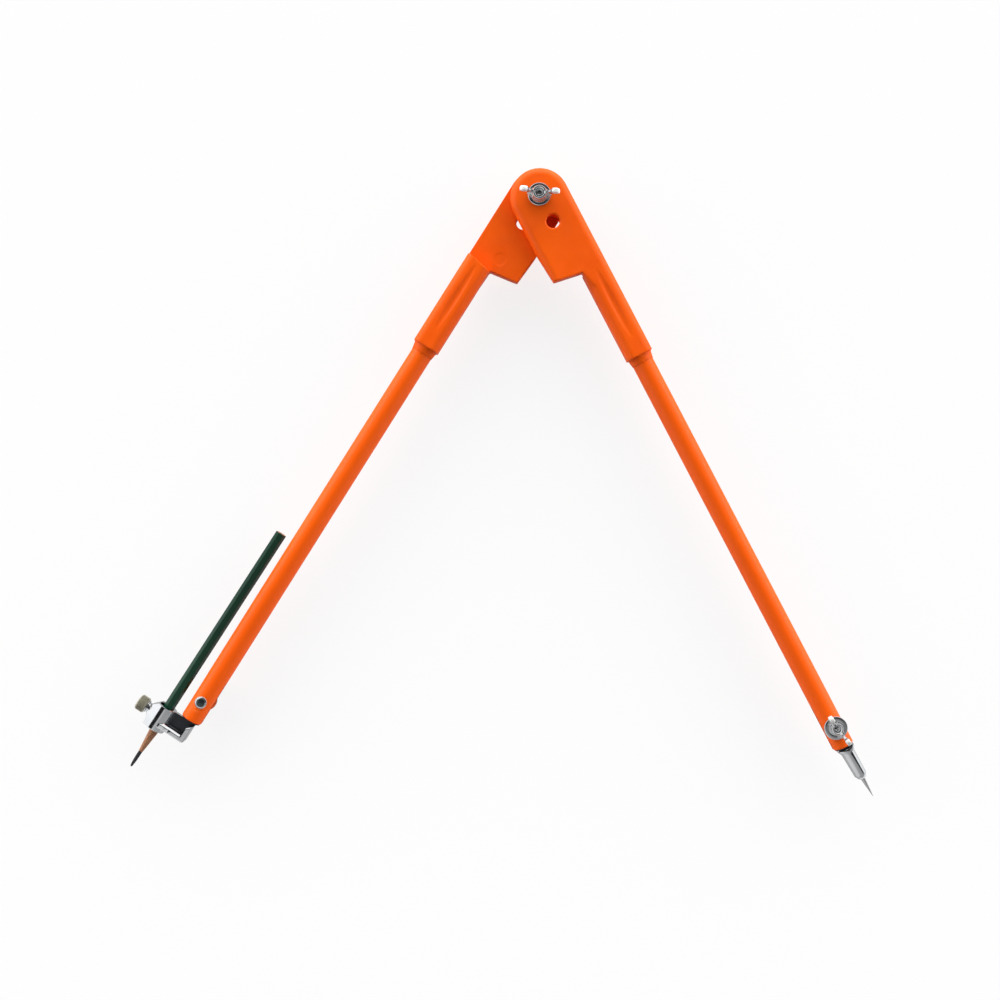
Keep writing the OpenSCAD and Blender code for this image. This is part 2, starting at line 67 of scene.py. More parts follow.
LOG = logging.getLogger("compass")
MM = 0.001  # one millimetre, in metres
GAP = 0.05  # air between pieces that move on each other
DRAWN = "drawn"  # the attribute that holds a piece's drawing coordinates
EVEN = (1.0, 1.0, 1.0)  # the stretch of noise that runs no way in particular
WHITE = (1.0, 1.0, 1.0, 1.0)
THREAD_WALL = 2.6  # how steep the sides of a thread's groove are
HOLE_SIDES = 48
FRAME_PX = 1000  # width of the photograph


class Way(Enum):
    """Where a piece's own +Z points in the frame that carries it, as the turn that brings it there."""

    DOWN_LEG = ("X", 90)
    OUTWARDS = ("Y", -90)


def turn(axis: str, degrees: float) -> Matrix:
    """Returns a rotation matrix about one axis."""
    return Matrix.Rotation(math.radians(degrees), 4, axis)


def shift(x: float, y: float = 0.0, z: float = 0.0) -> Matrix:
    """Returns a translation matrix, from millimetres to metres."""
    return Matrix.Translation(Vector((x, y, z)) * MM)


def pointed(way: Way) -> Matrix:
    """Returns the rotation that points +Z the given way."""
    return turn(*way.value)


@dataclass(frozen=True)
class Layout:
    """Where the drawing frames lie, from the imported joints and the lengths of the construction.

    Args:
        half: half the angle between the legs, in degrees.
        leg_x: from the hinge axis to a tube's axis, across the leg.
        clamp_at: from the hinge axis to the clamp bolt, along the leg.
        needle_tilt: outward tilt of the needle foot, in degrees.
        pencil_tilt: outward tilt of the pencil foot, in degrees.
        pencil_off: from the tube's axis to the pencil's.
    """

    half: float = 29.9
    leg_x: float = 10.2
    clamp_at: float = 390.0
    needle_tilt: float = 2.2
    pencil_tilt: float = 0.7
    pencil_off: float = 16.3

    @property
    def hinge(self) -> Vector:
        """The middle of the hinge, in metres."""
        joint = next(j for j in frame["joints"] if j["name"] == "head_hinge")
        return Vector(joint["pos_m"])

    @property
    def middle(self) -> Matrix:
        """The frame of the hinge, square to the part."""
        return Matrix.Translation(self.hinge)

    @property
    def right_leg(self) -> Matrix:
        """The frame of the needle leg."""
        return self.middle @ turn("Z", self.half)

    @property
    def left_leg(self) -> Matrix:
        """The frame of the pencil leg, which is the same leg turned over."""
        return self.middle @ turn("Z", -self.half) @ turn("Y", 180)

    @property
    def needle_foot(self) -> Matrix:
        """The frame of the needle foot, at the clamp bolt."""
        return self.right_leg @ shift(self.leg_x, -self.clamp_at) @ turn("Z", self.needle_tilt)

    @property
    def pencil_foot(self) -> Matrix:
        """The frame of the pencil foot, at the clamp bolt, with its front up."""
        bolt = self.middle @ turn("Z", -self.half) @ shift(-self.leg_x, -self.clamp_at)
        return bolt @ turn("Z", -self.pencil_tilt)


LAYOUT = Layout()


# Meshes


def outline(radius: Callable[[float], float], z: float, count: int, start: float = 0.0) -> Ring:
    """Returns a ring round Z from the radius at each angle; start is its first point's, in steps."""
    angles = [math.tau * (i + start) / count for i in range(count)]
    return [(radius(a) * math.cos(a), radius(a) * math.sin(a), z) for a in angles]


def circle(radius: float, z: float, count: int = 96) -> Ring:
    """Returns a round ring of points round Z."""
    return outline(lambda _: radius, z, count)


def thread_ring(radius: float, depth: float, pitch: float, z: float, count: int) -> Ring:
    """Returns one ring of a thread, whose groove climbs as it goes round."""
    return outline(lambda a: radius - depth * max(
        0.0, 1 - THREAD_WALL * abs((z / pitch - a / math.tau) % 1.0 - 0.5)), z, count)


def oval(wide: float, thick: float, bend: float, count: int) -> list[Pair]:
    """Returns an oval from half its sizes: an ellipse where bend is 1, and squarer where it is less."""
    ways = [(math.cos(math.tau * i / count), math.sin(math.tau * i / count)) for i in range(count)]
    return [tuple(math.copysign(abs(v) ** bend, v) * half for v, half in zip(way, (wide, thick)))
            for way in ways]


def rounding(radius: float, top: float, wide: float, high: float) -> list[Pair]:
    """Returns the profile of a rounded outer edge, up from the side to the top."""
    angles = [math.radians(15 * i) for i in range(7)]
    return [(radius - wide + wide * math.cos(a), top - high + high * math.sin(a)) for a in angles]


def skin(rings: Sequence[Ring], closed: bool = False) -> Shell:
    """Joins rings of equal count with quads.

    Args:
        rings: rings that run anticlockwise, seen from the end that the list leads to.
        closed: whether the last ring joins the first, as in a tube's wall; if not, the ends are capped.

    Returns:
        One closed shell.
    """
    shell = bmesh.new()
    rows = [[shell.verts.new(point) for point in ring] for ring in rings]
    pairs = list(zip(rows, rows[1:])) + ([(rows[-1], rows[0])] if closed else [])
    count = len(rows[0])
    for low, high in pairs:
        for i in range(count):
            j = (i + 1) % count
            shell.faces.new((low[i], low[j], high[j], high[i]))
    if not closed:
        shell.faces.new(rows[0][::-1])
        shell.faces.new(rows[-1])
    return shell


def turned(profile: Profile, closed: bool = False, count: int = 96) -> Shell:
    """Returns a shell turned round Z from (radius, z) points that run up the outside."""
    return skin([circle(r, z, count) for r, z in profile], closed)


def drill(radius: float, low: float, high: float) -> Shell:
    """Returns a round rod to cut a hole with."""
    return turned([(radius, low), (radius, high)], count=HOLE_SIDES)


def moved(shell: Shell, matrix: Matrix) -> Shell:
    """Returns the shell after a move in its own drawing frame; the matrix is in millimetres."""
    shell.transform(matrix)
    return shell


def joined(shells: Sequence[Shell]) -> Shell:
    """Makes one mesh that holds several.

    Args:
        shells: the shells, which are used up.

    Returns:
        The whole.
    """
    whole = bmesh.new()
    for shell in shells:
        part = bpy.data.meshes.new("part")
        shell.to_mesh(part)
        shell.free()
        whole.from_mesh(part)
        bpy.data.meshes.remove(part)
    return whole


def raw_piece(name: str, shell: Shell) -> Piece:
    """Makes a linked object, still in millimetres, with the shell's faces turned outwards.

    Args:
        name: the object's name.
        shell: its shape, which is used up.

    Returns:
        The object.
    """
    bmesh.ops.recalc_face_normals(shell, faces=shell.faces)
    mesh = bpy.data.meshes.new(name)
    shell.to_mesh(mesh)
    shell.free()
    obj = bpy.data.objects.new(name, mesh)
    bpy.context.scene.collection.objects.link(obj)
    return obj


def applied(obj: Piece) -> Piece:
    """Makes an object's modifiers into its mesh.

    Args:
        obj: the object.

    Returns:
        The same object.
    """
    bpy.context.view_layer.update()
    seen = obj.evaluated_get(bpy.context.evaluated_depsgraph_get())
    made = bpy.data.meshes.new_from_object(seen)
    old = obj.data
    obj.modifiers.clear()
    obj.data = made
    made.name = obj.name
    bpy.data.meshes.remove(old)
    return obj


def cut_out(obj: Piece, tool: Shell, bevel: float = 0.0) -> Piece:
    """Cuts the tool's shape out of the object.

    Args:
        obj: the object, in millimetres.
        tool: the shape that goes, which is used up.
        bevel: width of the broken edge left on every sharp edge, or 0.

    Returns:
        The same object, cut.
    """
    cutter = raw_piece("cutter", tool)
    change = obj.modifiers.new("cut", "BOOLEAN")
    change.operation = "DIFFERENCE"
    change.solver = "EXACT"
    change.object = cutter
    if bevel:
        edge = obj.modifiers.new("edge", "BEVEL")
        edge.width = bevel
        edge.segments = 2
        edge.limit_method = "ANGLE"
        edge.angle_limit = math.radians(40)
    applied(obj)
    bpy.data.meshes.remove(cutter.data)
    return obj


def smoothed(obj: Piece, rounds: int, voxel: float = 0.0,
             share: Callable[[Vector], float] | None = None) -> Piece:
    """Softens the skin, as casting and moulding do.

    Args:
        obj: the object, in millimetres.
        rounds: how often it is smoothed.
        voxel: size of the grid that melts overlapping shells into one skin first, or 0.
        share: gives each point's share of the smoothing, where 1 is all, or None for all everywhere.

    Returns:
        The same object.
    """
    if voxel:
        grid = obj.modifiers.new("grid", "REMESH")
        grid.mode = "VOXEL"
        grid.voxel_size = voxel
    soft = obj.modifiers.new("soft", "SMOOTH")
    soft.factor = 0.5
    soft.iterations = rounds
    if share:
        group = obj.vertex_groups.new(name="soft")
        for vertex in obj.data.vertices:
            group.add([vertex.index], min(1.0, share(vertex.co)), "REPLACE")
        soft.vertex_group = group.name
    return applied(obj)


def from_node(name: str, node: str, place: Matrix) -> Piece:
    """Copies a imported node's solid.

    Args:
        name: name of the new object.
        node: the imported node.
        place: the drawing frame that the copy is given in, in millimetres.

    Returns:
        The new object.
    """
    mesh = frame["nodes"][node].data.copy()
    mesh.transform(Matrix.Scale(1 / MM, 4) @ place.inverted())
    shell = bmesh.new()
    shell.from_mesh(mesh)
    bpy.data.meshes.remove(mesh)
    bmesh.ops.remove_doubles(shell, verts=shell.verts, dist=1e-4)
    return raw_piece(name, shell)


# Finishes


def srgb(red: float, green: float, blue: float) -> tuple[float, float, float, float]:
    """Makes a linear colour from screen values.

    Args:
        red, green, blue: the values, from 0 to 255.

    Returns:
        The colour, with a full alpha.
    """
    def linear(value: float) -> float:
        """Returns one channel, made linear."""
        v = value / 255
        return v / 12.92 if v <= 0.04045 else ((v + 0.055) / 1.055) ** 2.4
    return linear(red), linear(green), linear(blue), 1.0


class Graph:
    """A hand for placing and wiring shader nodes."""

    def __init__(self, tree: bpy.types.NodeTree) -> None:
        """Takes the tree that the nodes go in."""
        self.tree = tree

    def add(self, kind: str, inputs: dict[str | int, object] | None = None, **settings: object) -> Node:
        """Adds a node.

        Args:
            kind: the node's type, without the prefix that all have.
            inputs: a value or an output socket for each input, by name or number.
            settings: the node's own settings.

        Returns:
            The node.
        """
        node = self.tree.nodes.new("ShaderNode" + kind)
        for key, value in settings.items():
            setattr(node, key, value)
        for key, value in (inputs or {}).items():
            self.put(node, key, value)
        return node

    def put(self, node: Node, key: str | int, value: object) -> None:
        """Sets an input to a value, or wires an output socket to it.

        Args:
            node: the node that the input is on.
            key: the input's name or number.
            value: the value or the socket.
        """
        if isinstance(value, Socket):
            self.tree.links.new(value, node.inputs[key])
        else:
            node.inputs[key].default_value = value

    def calc(self, operation: str, *values: object) -> Socket:
        """Returns the result of a Math node on up to three values or sockets."""
        return self.add("Math", dict(enumerate(values)), operation=operation).outputs[0]

    def blend(self, factor: object, first: object, second: object) -> Socket:
        """Returns a mix of two colours."""
        return self.add("Mix", {0: factor, 6: first, 7: second}, data_type="RGBA").outputs[2]

    def tint(self, tone: Socket, mask: Socket, share: float, colour: Colour) -> Socket:
        """Returns a colour with some of another, given in screen values, where a mask says."""
        return self.blend(self.calc("MULTIPLY", mask, share), tone, srgb(*colour))

    def rough(self, dull: Socket, mask: Socket, share: float) -> Socket:
        """Returns a roughness raised where a mask says."""
        return self.calc("ADD", dull, self.calc("MULTIPLY", mask, share))

    def ranged(self, value: object, low: float, high: float, to_low: object = 0.0,
               to_high: object = 1.0) -> Socket:
        """Returns a value brought from one range to another, clamped."""
        return self.add("MapRange", {"Value": value, "From Min": low, "From Max": high,
                                     "To Min": to_low, "To Max": to_high}).outputs["Result"]

    def effect(self, effect: "Effect", **inputs: object) -> bpy.types.NodeOutputs:
        """Adds a shared effect's group.

        Args:
            effect: the effect.
            inputs: its inputs, by their names in small letters.

        Returns:
            Its outputs.
        """
        node = self.tree.nodes.new("ShaderNodeGroup")
        node.node_tree = effect.tree()
        for key, value in inputs.items():
            self.put(node, key.title(), value)
        return node.outputs


class Effect(Enum):
    """The effects that several finishes share, each one node group."""

    MOTTLE = "cloudy change between two colours"
    SMUDGE = "patches of more and less gloss"
    GRAIN = "fine grain, stretched along one way"
    WEAR = "worn outer edges and filled inner corners"
    SCRATCHES = "thin random scratches"

    def tree(self) -> bpy.types.NodeTree:
        """Returns the effect's node group, made at its first use."""
        name = self.name.lower()
        return bpy.data.node_groups.get(name) or getattr(self, "_" + name)()

    def _group(self, inputs: dict[str, object],
               outputs: dict[str, str]) -> tuple[Graph, bpy.types.NodeOutputs, Node]:
        """Makes an empty group.

        Args:
            inputs: each input's name and usual value: a number, a vector of three or a colour of four.
            outputs: each output's name and its kind, Float or Color.

        Returns:
            The graph, the sockets that give its inputs, and its output node.
        """
        tree = bpy.data.node_groups.new(self.name.lower(), "ShaderNodeTree")
        for name, usual in inputs.items():
            size = len(usual) if isinstance(usual, tuple) else 1
            kind = {1: "NodeSocketFloat", 3: "NodeSocketVector", 4: "NodeSocketColor"}[size]
            tree.interface.new_socket(name, in_out="INPUT", socket_type=kind).default_value = usual
        for name, kind in outputs.items():
            tree.interface.new_socket(name, in_out="OUTPUT", socket_type="NodeSocket" + kind)
        return Graph(tree), tree.nodes.new("NodeGroupInput").outputs, tree.nodes.new("NodeGroupOutput")

    @staticmethod
    def _noise(graph: Graph, scale: object, stretch: object = EVEN, detail: float = 4.0) -> Socket:
        """Adds noise that follows the piece's drawing coordinates.

        Args:
            graph: the graph that it goes in.
            scale: features per millimetre.
            stretch: how much it shrinks along each axis.
            detail: how fine it gets.

        Returns:
            The noise, round 0.5.
        """
        place = graph.add("Attribute", attribute_name=DRAWN).outputs["Vector"]
        along = graph.add("VectorMath", {0: place, 1: stretch}, operation="MULTIPLY").outputs[0]
        return graph.add("TexNoise", {"Vector": along, "Scale": scale, "Detail": detail}).outputs["Fac"]

    def _mottle(self) -> bpy.types.NodeTree:
        """Makes the group that drifts between two colours.

        Returns:
            The group.
        """
        graph, given, out = self._group(
            {"Scale": 0.05, "First": WHITE, "Second": WHITE, "Stretch": EVEN}, {"Color": "Color"})
        share = graph.ranged(self._noise(graph, given["Scale"], given["Stretch"]), 0.35, 0.68)
        graph.put(out, "Color", graph.blend(share, given["First"], given["Second"]))
        return graph.tree

    def _smudge(self) -> bpy.types.NodeTree:
        """Makes the group that varies the gloss.

        Returns:
            The group.
        """
        graph, given, out = self._group({"Scale": 0.1, "Low": 0.3, "High": 0.5}, {"Value": "Float"})
        cloud = self._noise(graph, given["Scale"], detail=6.0)
        graph.put(out, "Value", graph.ranged(cloud, 0.3, 0.7, given["Low"], given["High"]))
        return graph.tree

    def _grain(self) -> bpy.types.NodeTree:
        """Makes the group that gives a fine relief.

        Returns:
            The group.
        """
        graph, given, out = self._group({"Scale": 2.0, "Stretch": EVEN}, {"Height": "Float"})
        graph.put(out, "Height", self._noise(graph, given["Scale"], given["Stretch"], 3.0))
        return graph.tree

    def _wear(self) -> bpy.types.NodeTree:
        """Makes the group that finds worn edges and dirty corners.

        Returns:
            The group.
        """
        graph, given, out = self._group({"Edge": 0.56, "Corner": 0.44, "Breakup": 0.8},
                                        {"Edges": "Float", "Corners": "Float"})
        steep = 14.0
        bend = graph.add("NewGeometry").outputs["Pointiness"]
        broken = graph.ranged(self._noise(graph, given["Breakup"]), 0.42, 0.62)
        edges = graph.calc("MULTIPLY", graph.calc("SUBTRACT", bend, given["Edge"]), steep)
        corners = graph.calc("MULTIPLY", graph.calc("SUBTRACT", given["Corner"], bend), steep)
        graph.put(out, "Edges", graph.add("Clamp", {0: graph.calc("MULTIPLY", edges, broken)}).outputs[0])
        graph.put(out, "Corners", graph.add("Clamp", {0: corners}).outputs[0])
        return graph.tree

    def _scratches(self) -> bpy.types.NodeTree:
        """Makes the group that draws thin scratches two ways, where two bands of noise cross a half.

        Returns:
            The group.
        """
        graph, given, out = self._group({"Scale": 0.25, "Amount": 0.5}, {"Mask": "Float"})
        width = 0.006
        lines = [self._noise(graph, given["Scale"], way, 1.0) for way in ((1.0, 0.06, 1.0), (0.09, 1.0, 0.8))]
        thin = [graph.ranged(graph.calc("ABSOLUTE", graph.calc("SUBTRACT", line, 0.5)), 0.0, width, 1.0, 0.0)
                for line in lines]
        patch = graph.ranged(self._noise(graph, 0.11, detail=2.0), 0.5, 0.64)
        both = graph.calc("MULTIPLY", graph.calc("MAXIMUM", *thin), patch)
        graph.put(out, "Mask", graph.calc("MULTIPLY", both, given["Amount"]))
        return graph.tree


@dataclass(frozen=True)
class Finish:
    """A surface: what all finishes have in common.

    Args:
        slot: the record's material slot.
        colour: the main colour, as screen values.
        other: the colour that the main one drifts to.
        gloss: lowest and highest roughness.
        metallic: 1 for bare or plated metal.
        shine: level of the surface's own reflection, 0.5 as glass.
        relief: depth of the fine relief in millimetres.
        grain: features of that relief per millimetre.
        stretch: how much the noise shrinks along each drawing axis.
        cloud: drifts between the two colours per millimetre.
        patches: changes of the gloss per millimetre.
    """

    slot: str
    colour: Colour
    other: Colour
    gloss: Pair
    metallic: float = 0.0
    shine: float = 0.5
    relief: float = 0.01
    grain: float = 2.0
    stretch: Point = EVEN
    cloud: float = 0.05
    patches: float = 0.12

    def material(self) -> bpy.types.Material:
        """Makes the material at its first use, and finds it again after that.

        Returns:
            The material.
        """
        name = self.slot + "_finish"
        material = bpy.data.materials.get(name)
        if material:
            return material
        material = bpy.data.materials.new(name)
        material.use_nodes = True
        graph = Graph(material.node_tree)
        shader = material.node_tree.nodes["Principled BSDF"]
        graph.put(shader, "Metallic", self.metallic)
        graph.put(shader, "Specular IOR Level", self.shine)
        tone = graph.effect(Effect.MOTTLE, scale=self.cloud, first=srgb(*self.colour),
                            second=srgb(*self.other), stretch=self.stretch)[0]
        dull = graph.effect(Effect.SMUDGE, scale=self.patches, low=self.gloss[0], high=self.gloss[1])[0]
        rise = graph.effect(Effect.GRAIN, scale=self.grain, stretch=self.stretch)[0]
        tone, dull, rise = self.detail(graph, (tone, dull, rise))
        graph.put(shader, "Base Color", tone)
        graph.put(shader, "Roughness", dull)
        bump = graph.add("Bump", {"Strength": 1.0, "Distance": self.relief * MM, "Height": rise})
        graph.put(shader, "Normal", bump.outputs[0])
        return material

    def detail(self, graph: Graph, looks: Looks) -> Looks:
        """Adds what this finish alone has.

        Args:
            graph: the material's graph.
            looks: the colour, the roughness and the relief so far.

        Returns:
            The three, changed.
        """
        return looks


@dataclass(frozen=True)
class Plastic(Finish):
    """Moulded plastic or paint: paler worn edges, dust in the corners, handling scratches.

    Args:
        worn: colour of the worn edges and the scratches.
        dirt: colour of the dust.
    """

    worn: Colour = (255, 150, 90)
    dirt: Colour = (150, 60, 20)

    def detail(self, graph: Graph, looks: Looks) -> Looks:
        """Adds worn edges, corner dirt and scratches.

        Args:
            graph: the material's graph.
            looks: the colour, the roughness and the relief so far.

        Returns:
            The three, changed.
        """
        tone, dull, rise = looks
        wear = graph.effect(Effect.WEAR, edge=0.57, corner=0.43, breakup=0.7)
        marks = graph.effect(Effect.SCRATCHES, scale=0.3, amount=0.35)[0]
        tone = graph.tint(tone, wear["Corners"], 0.35, self.dirt)
        tone = graph.tint(tone, wear["Edges"], 0.25, self.worn)
        tone = graph.tint(tone, marks, 0.22, self.worn)
        return tone, graph.rough(dull, marks, 0.3), rise


@dataclass(frozen=True)
class Plating(Finish):
    """Plated or bare metal: grey film in the corners, rubbed edges and fine scratches.

    Args:
        film: colour of the film.
        rubbed: colour of the rubbed edges.
    """

    film: Colour = (70, 68, 64)
    rubbed: Colour = (235, 235, 232)

    def detail(self, graph: Graph, looks: Looks) -> Looks:
        """Adds film, rubbed edges and scratches.

        Args:
            graph: the material's graph.
            looks: the colour, the roughness and the relief so far.

        Returns:
            The three, changed.
        """
        tone, dull, rise = looks
        wear = graph.effect(Effect.WEAR, edge=0.56, corner=0.45, breakup=1.2)
        marks = graph.effect(Effect.SCRATCHES, scale=0.6, amount=0.6)[0]
        tone = graph.tint(tone, wear["Corners"], 0.7, self.film)
        tone = graph.tint(tone, wear["Edges"], 0.6, self.rubbed)
        dull = graph.rough(dull, marks, 0.18)
        return tone, graph.rough(dull, wear["Corners"], 0.25), rise


@dataclass(frozen=True)
class Wood(Finish):
    """Sharpened pencil wood: dark fibres along the pencil, which give the relief too.

    Args:
        fibre: colour of the fibres.
    """

    fibre: Colour = (108, 66, 44)

    def detail(self, graph: Graph, looks: Looks) -> Looks:
        """Adds the fibres.

        Args:
            graph: the material's graph.
            looks: the colour, the roughness and the relief so far.

        Returns:
            The three, changed.
        """
        fibres = graph.effect(Effect.GRAIN, scale=3.2, stretch=(1.0, 1.0, 0.06))[0]
        share = graph.ranged(fibres, 0.5, 0.7, 0.0, 0.6)
        return graph.blend(share, looks[0], srgb(*self.fibre)), looks[1], fibres


ORANGE_MOULDING = Plastic("orange_moulding", (241, 91, 5), (233, 85, 3), (0.4, 0.52), shine=0.15, grain=1.4)
ORANGE_PAINT = Plastic("orange_paint", (240, 92, 7), (234, 87, 5), (0.3, 0.38), shine=0.22, relief=0.002,
                       grain=0.9, stretch=(1.0, 0.25, 1.0))
BLACK_PLASTIC = Plastic("black_plastic", (22, 22, 24), (34, 33, 34), (0.45, 0.65), worn=(70, 68, 66),
                        dirt=(60, 56, 50))
BRIGHT_ZINC = Plating("bright_zinc", (222, 223, 224), (196, 198, 201), (0.12, 0.22), metallic=1.0,
                      relief=0.004)
# Near-white, mostly unmetallic material for the hinge wing nut's pads: a painted highlight.
HINGE_PAD_HIGHLIGHT_ZINC = Plating("hinge_pad_highlight_zinc", (242, 242, 240), (234, 235, 234), (0.4, 0.55), metallic=0.15,
                       relief=0.006, rubbed=(246, 246, 244))
# Whitish, partly metallic material for the clamp wing nuts' pads: a painted highlight.
CLAMP_PAD_HIGHLIGHT_ZINC = Plating("clamp_pad_highlight_zinc", (222, 222, 219), (206, 207, 204), (0.3, 0.45), metallic=0.3, relief=0.006,
                    rubbed=(232, 232, 229))
DARK_ZINC = Plating("dark_zinc", (88, 98, 100), (70, 79, 82), (0.28, 0.4), metallic=1.0, relief=0.004,
                    film=(40, 44, 46), rubbed=(120, 128, 130))
CAST_METAL = Plating("cast_metal", (226, 228, 230), (208, 211, 214), (0.07, 0.14), metallic=1.0,
                     relief=0.006, grain=1.1)
# Dark metal for the floor of the pencil foot's pocket: painted shade in the recess.
POCKET_SHADE_CASTING = Plating("pocket_shade_casting", (84, 86, 90), (66, 68, 72), (0.3, 0.42), metallic=1.0,
                      film=(30, 30, 32), rubbed=(120, 122, 124))
NEEDLE_STEEL = Plating("needle_steel", (206, 206, 206), (176, 177, 179), (0.2, 0.32), metallic=1.0,
                       relief=0.004, grain=4.0, stretch=(1.0, 1.0, 0.08))
KNURLED_METAL = Plating("knurled_metal", (200, 196, 177), (174, 170, 153), (0.38, 0.52), metallic=1.0,
                        film=(84, 80, 62), rubbed=(222, 217, 196))
PENCIL_PAINT = Plastic("pencil_paint", (14, 54, 37), (10, 45, 31), (0.12, 0.2), shine=0.3, relief=0.004,
                       grain=0.8, stretch=(1.0, 1.0, 0.15), worn=(60, 92, 76), dirt=(8, 22, 16))
PENCIL_WOOD = Wood("pencil_wood", (172, 122, 90), (146, 100, 72), (0.6, 0.75), shine=0.3, relief=0.03)
GRAPHITE = Plating("graphite", (58, 59, 63), (44, 45, 48), (0.32, 0.5), metallic=0.6,
                   film=(28, 28, 30), rubbed=(96, 97, 102))


# Pieces


@dataclass
class Assembly:
    """A sub-assembly; it keeps the pieces that it has made."""

    pieces: list[Piece] = field(default_factory=list, init=False)

    def keep(self, obj: Piece, place: Matrix, body: str, node: str, finish: Finish, sharp: float = 35.0,
             other: Finish | None = None, where: Callable[[Face], bool] = lambda face: False) -> None:
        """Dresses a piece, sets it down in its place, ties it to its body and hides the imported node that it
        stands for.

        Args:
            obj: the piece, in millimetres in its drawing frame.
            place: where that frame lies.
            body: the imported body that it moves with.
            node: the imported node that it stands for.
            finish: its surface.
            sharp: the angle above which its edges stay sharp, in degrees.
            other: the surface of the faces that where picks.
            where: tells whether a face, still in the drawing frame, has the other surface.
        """
        mesh = obj.data
        mesh.materials.append(finish.material())
        if other:
            mesh.materials.append(other.material())
        for face in mesh.polygons:
            face.material_index = int(where(face))
        drawn = mesh.attributes.new(DRAWN, "FLOAT_VECTOR", "POINT")
        drawn.data.foreach_set("vector", [value for vertex in mesh.vertices for value in vertex.co])
        mesh.transform(place @ Matrix.Scale(MM, 4))
        mesh.shade_smooth()
        mesh.set_sharp_from_angle(angle=math.radians(sharp))
        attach(obj, body)
        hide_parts(node)
        self.pieces.append(obj)


@dataclass
class Leg(Assembly):
    """One leg: its moulded head, its tube and the plug in the tube's end.

    Args:
        side: left or right, as the nodes are named.
        place: the leg's drawing frame.
        dimple_y: place of the lap face's mould mark, which is left as it is.
        runout: length over which the sleeve's rounding starts.
        edge: rounding of the tube's end.
        neck: width of the hole for the bolt's square neck.
    """

    side: str
    place: Matrix
    plate_low: float = 53.7
    lap_face: float = 0.15
    dimple_y: float = -47.0
    dimple_r: float = 4.8
    runout: float = 15.0
    sleeve_w: float = 17.4
    tube_r: float = 7.0
    tube_wall: float = 1.4
    tube_from: float = 66.5
    tube_end: float = 404.0
    edge: float = 0.7
    slit_w: float = 3.4
    slit_end: float = 374.0
    hole_r: float = 2.08
    neck: float = 4.15

    @property
    def body(self) -> str:
        """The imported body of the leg."""
        return self.side + "_leg"

    def build(self) -> None:
        """Builds the three pieces."""
        self.head()
        self.tube()
        self.plug()

    def on_lap(self, vertex: bpy.types.MeshVertex) -> bool:
        """Tells whether a point belongs to the lap face, outside its mould mark."""
        near = abs(vertex.co.z - self.lap_face) < 0.3 and vertex.normal.z < -0.8
        return near and math.hypot(vertex.co.x, vertex.co.y - self.dimple_y) > self.dimple_r

    def head(self) -> None:
        """Builds the head: softened edges, a soft start of the sleeve's rounding, and a true lap face."""
        name = self.side + "_head"
        x = LAYOUT.leg_x - self.sleeve_w / 2 + 2.5
        y = -self.plate_low - 4.0 - self.runout / 2

        def softness(co: Vector) -> float:
            """Returns how much the start of the sleeve's inner rounding is softened at a point."""
            near = max(0.0, 1 - abs(co.x - x) / 6) * max(0.0, 1 - abs(co.y - y) / self.runout)
            return 2.5 * near if co.z > 3 else 0.0

        obj = from_node(name + "_moulding", name, self.place)
        smoothed(obj, 4, 0.4)
        smoothed(obj, 24, share=softness)
        # Every move makes Blender work out all normals anew, so the points are found first.
        for vertex in [vertex for vertex in obj.data.vertices if self.on_lap(vertex)]:
            vertex.co.z = self.lap_face
        self.keep(obj, self.place, self.body, name, ORANGE_MOULDING)

    def tube(self) -> None:
        """Builds the painted tube with its clamping slits and the holes of the clamp bolt."""
        r, bore, end = self.tube_r, self.tube_r - self.tube_wall, self.tube_end
        start, steps, reach = self.tube_from + 0.4, 56, 10.0
        length = end - self.edge - 1 - self.tube_from
        side = [(r, start + length * i / steps) for i in range(steps + 1)]
        walls = [(bore, self.tube_from), (r - 0.2, self.tube_from), *side,
                 *rounding(r, end, self.edge, self.edge), (bore + 0.15, end), (bore, end - 0.15)]
        axis = Matrix.Translation((LAYOUT.leg_x, 0, 0))
        tube = moved(turned(walls, True, 128), axis @ pointed(Way.DOWN_LEG))
        half, n = self.slit_w / 2, self.neck / 2
        slit = [(-self.slit_end + half * math.cos(a), half * math.sin(a))
                for a in (math.radians(7.5 * i - 90) for i in range(25))]
        slit += [(-end - 1, half), (-end - 1, -half)]
        slits = skin([[(LAYOUT.leg_x + x, y, z) for y, z in slit] for x in (-reach, reach)])
        square = skin([[(-n, -n, z), (n, -n, z), (n, n, z), (-n, n, z)] for z in (-reach, 0.0)])
        at_bolt = Matrix.Translation((LAYOUT.leg_x, -LAYOUT.clamp_at, 0))
        holes = [moved(hole, at_bolt) for hole in (drill(self.hole_r, 0, reach), square)]
        obj = raw_piece(self.side + "_tube_painted", tube)
        cut_out(obj, joined([slits, *holes]), 0.12)
        self.keep(obj, self.place, self.body, self.side + "_tube", ORANGE_PAINT)

    def plug(self) -> None:
        """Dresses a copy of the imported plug, whose shape is right as it is."""
        name = self.side + "_tube_plug"
        obj = from_node(name + "_moulded", name, self.place)
        self.keep(obj, self.place, self.body, name, BLACK_PLASTIC)


